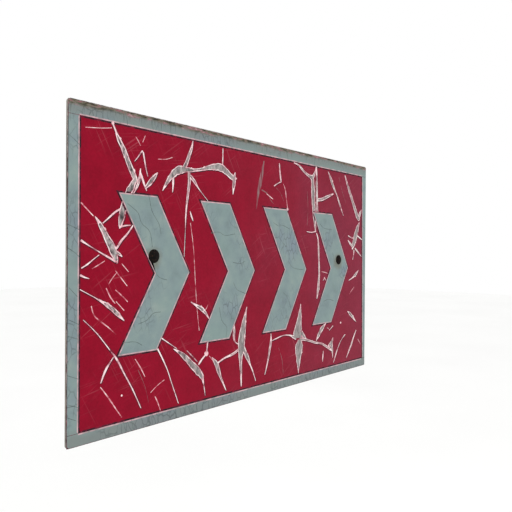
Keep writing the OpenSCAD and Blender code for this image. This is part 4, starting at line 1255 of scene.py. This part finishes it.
PANEL_RIM = 2.5 * MM    # width of the rim round the sunk panel
PANEL_DEPTH = 0.8 * MM  # how deep the panel is sunk
MOULDED = 0.4 * MM      # rounding that the mould gives every edge
for side, way in (("left", -1), ("right", 1)):
    cap = remade("rail_cap_" + side, "rail_cap_" + side + "_moulded")
    cap_low, cap_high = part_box("rail_cap_" + side)
    outer_x = cap_low.x if way < 0 else cap_high.x
    pick_faces(cap, lambda face: abs(face.calc_center_median().x - outer_x) < CLOSE)
    bpy.ops.mesh.inset(thickness=PANEL_RIM, use_even_offset=True)
    bpy.ops.mesh.extrude_region_move(TRANSFORM_OT_translate={"value": (-way * PANEL_DEPTH, 0, 0)})
    bpy.ops.object.mode_set(mode="OBJECT")
    soften(cap, MOULDED)
    dress(cap, black_plastic)
    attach(cap, "sign_board")


# ---------------------------------------------------------------------------------------------
# The clip's strap: a flat bar bent to a half round with two ears, punched, cropped and galvanised. It
# draws the post against the rail.

CROPPED = 0.5 * MM  # rounding of the bar's cropped edges
strap = remade("clip_strap", "clip_strap_galvanised")
soften(strap, CROPPED)
dress(strap, zinc_coat)
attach(strap, "post_clip")


# ---------------------------------------------------------------------------------------------
# The clip's hammer-head bolts: forged M10 with a flat head that turns behind the rail's lips and a
# square neck that the slot holds. Their thread runs from the neck to the end.

low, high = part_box("clip_bolt_left")
axis = Vector(((low.x + high.x) / 2, low.y, (low.z + high.z) / 2))
HAMMER_T = 6 * MM        # thickness of the head
HAMMER_EDGE = 0.9 * MM   # rounding of the head's edges
HAMMER_NECK = 5 * MM     # length of the square neck
SUNK = 1.0               # mm, where shank and neck start inside the head
thread_from = (HAMMER_T + HAMMER_NECK) / MM + 0.5
long = (high.y - low.y) / MM
hammer_bolt = turned("clip_bolt_left_plated", axis,
                     [(SHANK, SUNK), (SHANK, thread_from)] + thread_rings(thread_from, long, SHANK)[1:])
head = block("head", low, Vector((high.x, low.y + HAMMER_T, high.z)), HAMMER_EDGE)
neck = block("neck", axis + Vector((-NECK, SUNK * MM, -NECK)),
             axis + Vector((NECK, HAMMER_T + HAMMER_NECK, NECK)), FORGED)
combine(hammer_bolt, [head, neck], "UNION")
smoothed(hammer_bolt)
dress(hammer_bolt, zinc_plate)
other_hammer = copied(hammer_bolt, "clip_bolt_right_plated",
                      middle_of("clip_bolt_right") - middle_of("clip_bolt_left"))
for bolt, side in ((hammer_bolt, "left"), (other_hammer, "right")):
    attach(bolt, "post_clip")
    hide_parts("clip_bolt_" + side)


# ---------------------------------------------------------------------------------------------
# The camera: nearly level, off to the sign's left and close to it, with a moderately long lens. It is
# turned, tilted and rolled by the angles below.

CAMERA_AT = Vector((-0.7633, -0.7069, 0.0104))
TURN, TILT, ROLL = (math.radians(angle) for angle in (49.257, -0.319, 0.402))
ahead = Vector((math.sin(TURN) * math.cos(TILT), math.cos(TURN) * math.cos(TILT), math.sin(TILT)))
level = Vector((math.cos(TURN), -math.sin(TURN), 0))
up = level.cross(ahead)
right = level * math.cos(ROLL) + up * math.sin(ROLL)
upright = right.cross(ahead)
lens = bpy.data.cameras.new("camera")
lens.lens = 39.76
lens.sensor_width = 36
lens.clip_start = 0.05
lens.clip_end = 60
camera = bpy.data.objects.new("camera", lens)
bpy.context.collection.objects.link(camera)
camera.matrix_world = Matrix.Translation(CAMERA_AT) @ Matrix((right, upright, -ahead)).transposed().to_4x4()
bpy.context.scene.camera = camera


# ---------------------------------------------------------------------------------------------
# The studio: a pale matt floor that runs on to the horizon, white light all round and one large soft
# light above the camera, like a bright overcast day. The sign hangs over the floor at post height.

FLOOR_Z = -1.4    # metres
FLOOR_SIDE = 40   # metres
bpy.ops.mesh.primitive_plane_add(size=FLOOR_SIDE, location=(0, 0, FLOOR_Z))
floor = bpy.context.active_object
floor.name = "floor"
paint, tree, shader = start_material("backdrop_paint_matt_white", Roughness=0.95)
place = add(tree, "TexCoord").outputs["Object"]
dust = add(tree, "TexNoise", {"Vector": place, "Scale": 0.6, "Detail": 2.0})
whites = add(tree, "ValToRGB", {0: dust.outputs["Fac"]}, [(0.3, "#fafaf9"), (0.7, "#fdfdfc")])
tree.links.new(whites.outputs[0], shader.inputs["Base Color"])
dress(floor, paint)
floor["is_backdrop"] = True

world = bpy.data.worlds.new("studio")
world.use_nodes = True
world.node_tree.nodes["Background"].inputs["Color"].default_value = colour("#ffffff")
world.node_tree.nodes["Background"].inputs["Strength"].default_value = 1.0
bpy.context.scene.world = world

soft = bpy.data.lights.new("softbox", "AREA")
soft.shape = "RECTANGLE"
soft.size = 3.0
soft.size_y = 2.0
soft.energy = 35
softbox = bpy.data.objects.new("softbox", soft)
bpy.context.collection.objects.link(softbox)
softbox.location = (-1.6, -2.6, 2.4)
softbox.rotation_mode = "QUATERNION"
softbox.rotation_quaternion = (-Vector(softbox.location)).to_track_quat("-Z", "Y")
bpy.context.scene.view_settings.view_transform = "Standard"

low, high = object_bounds()
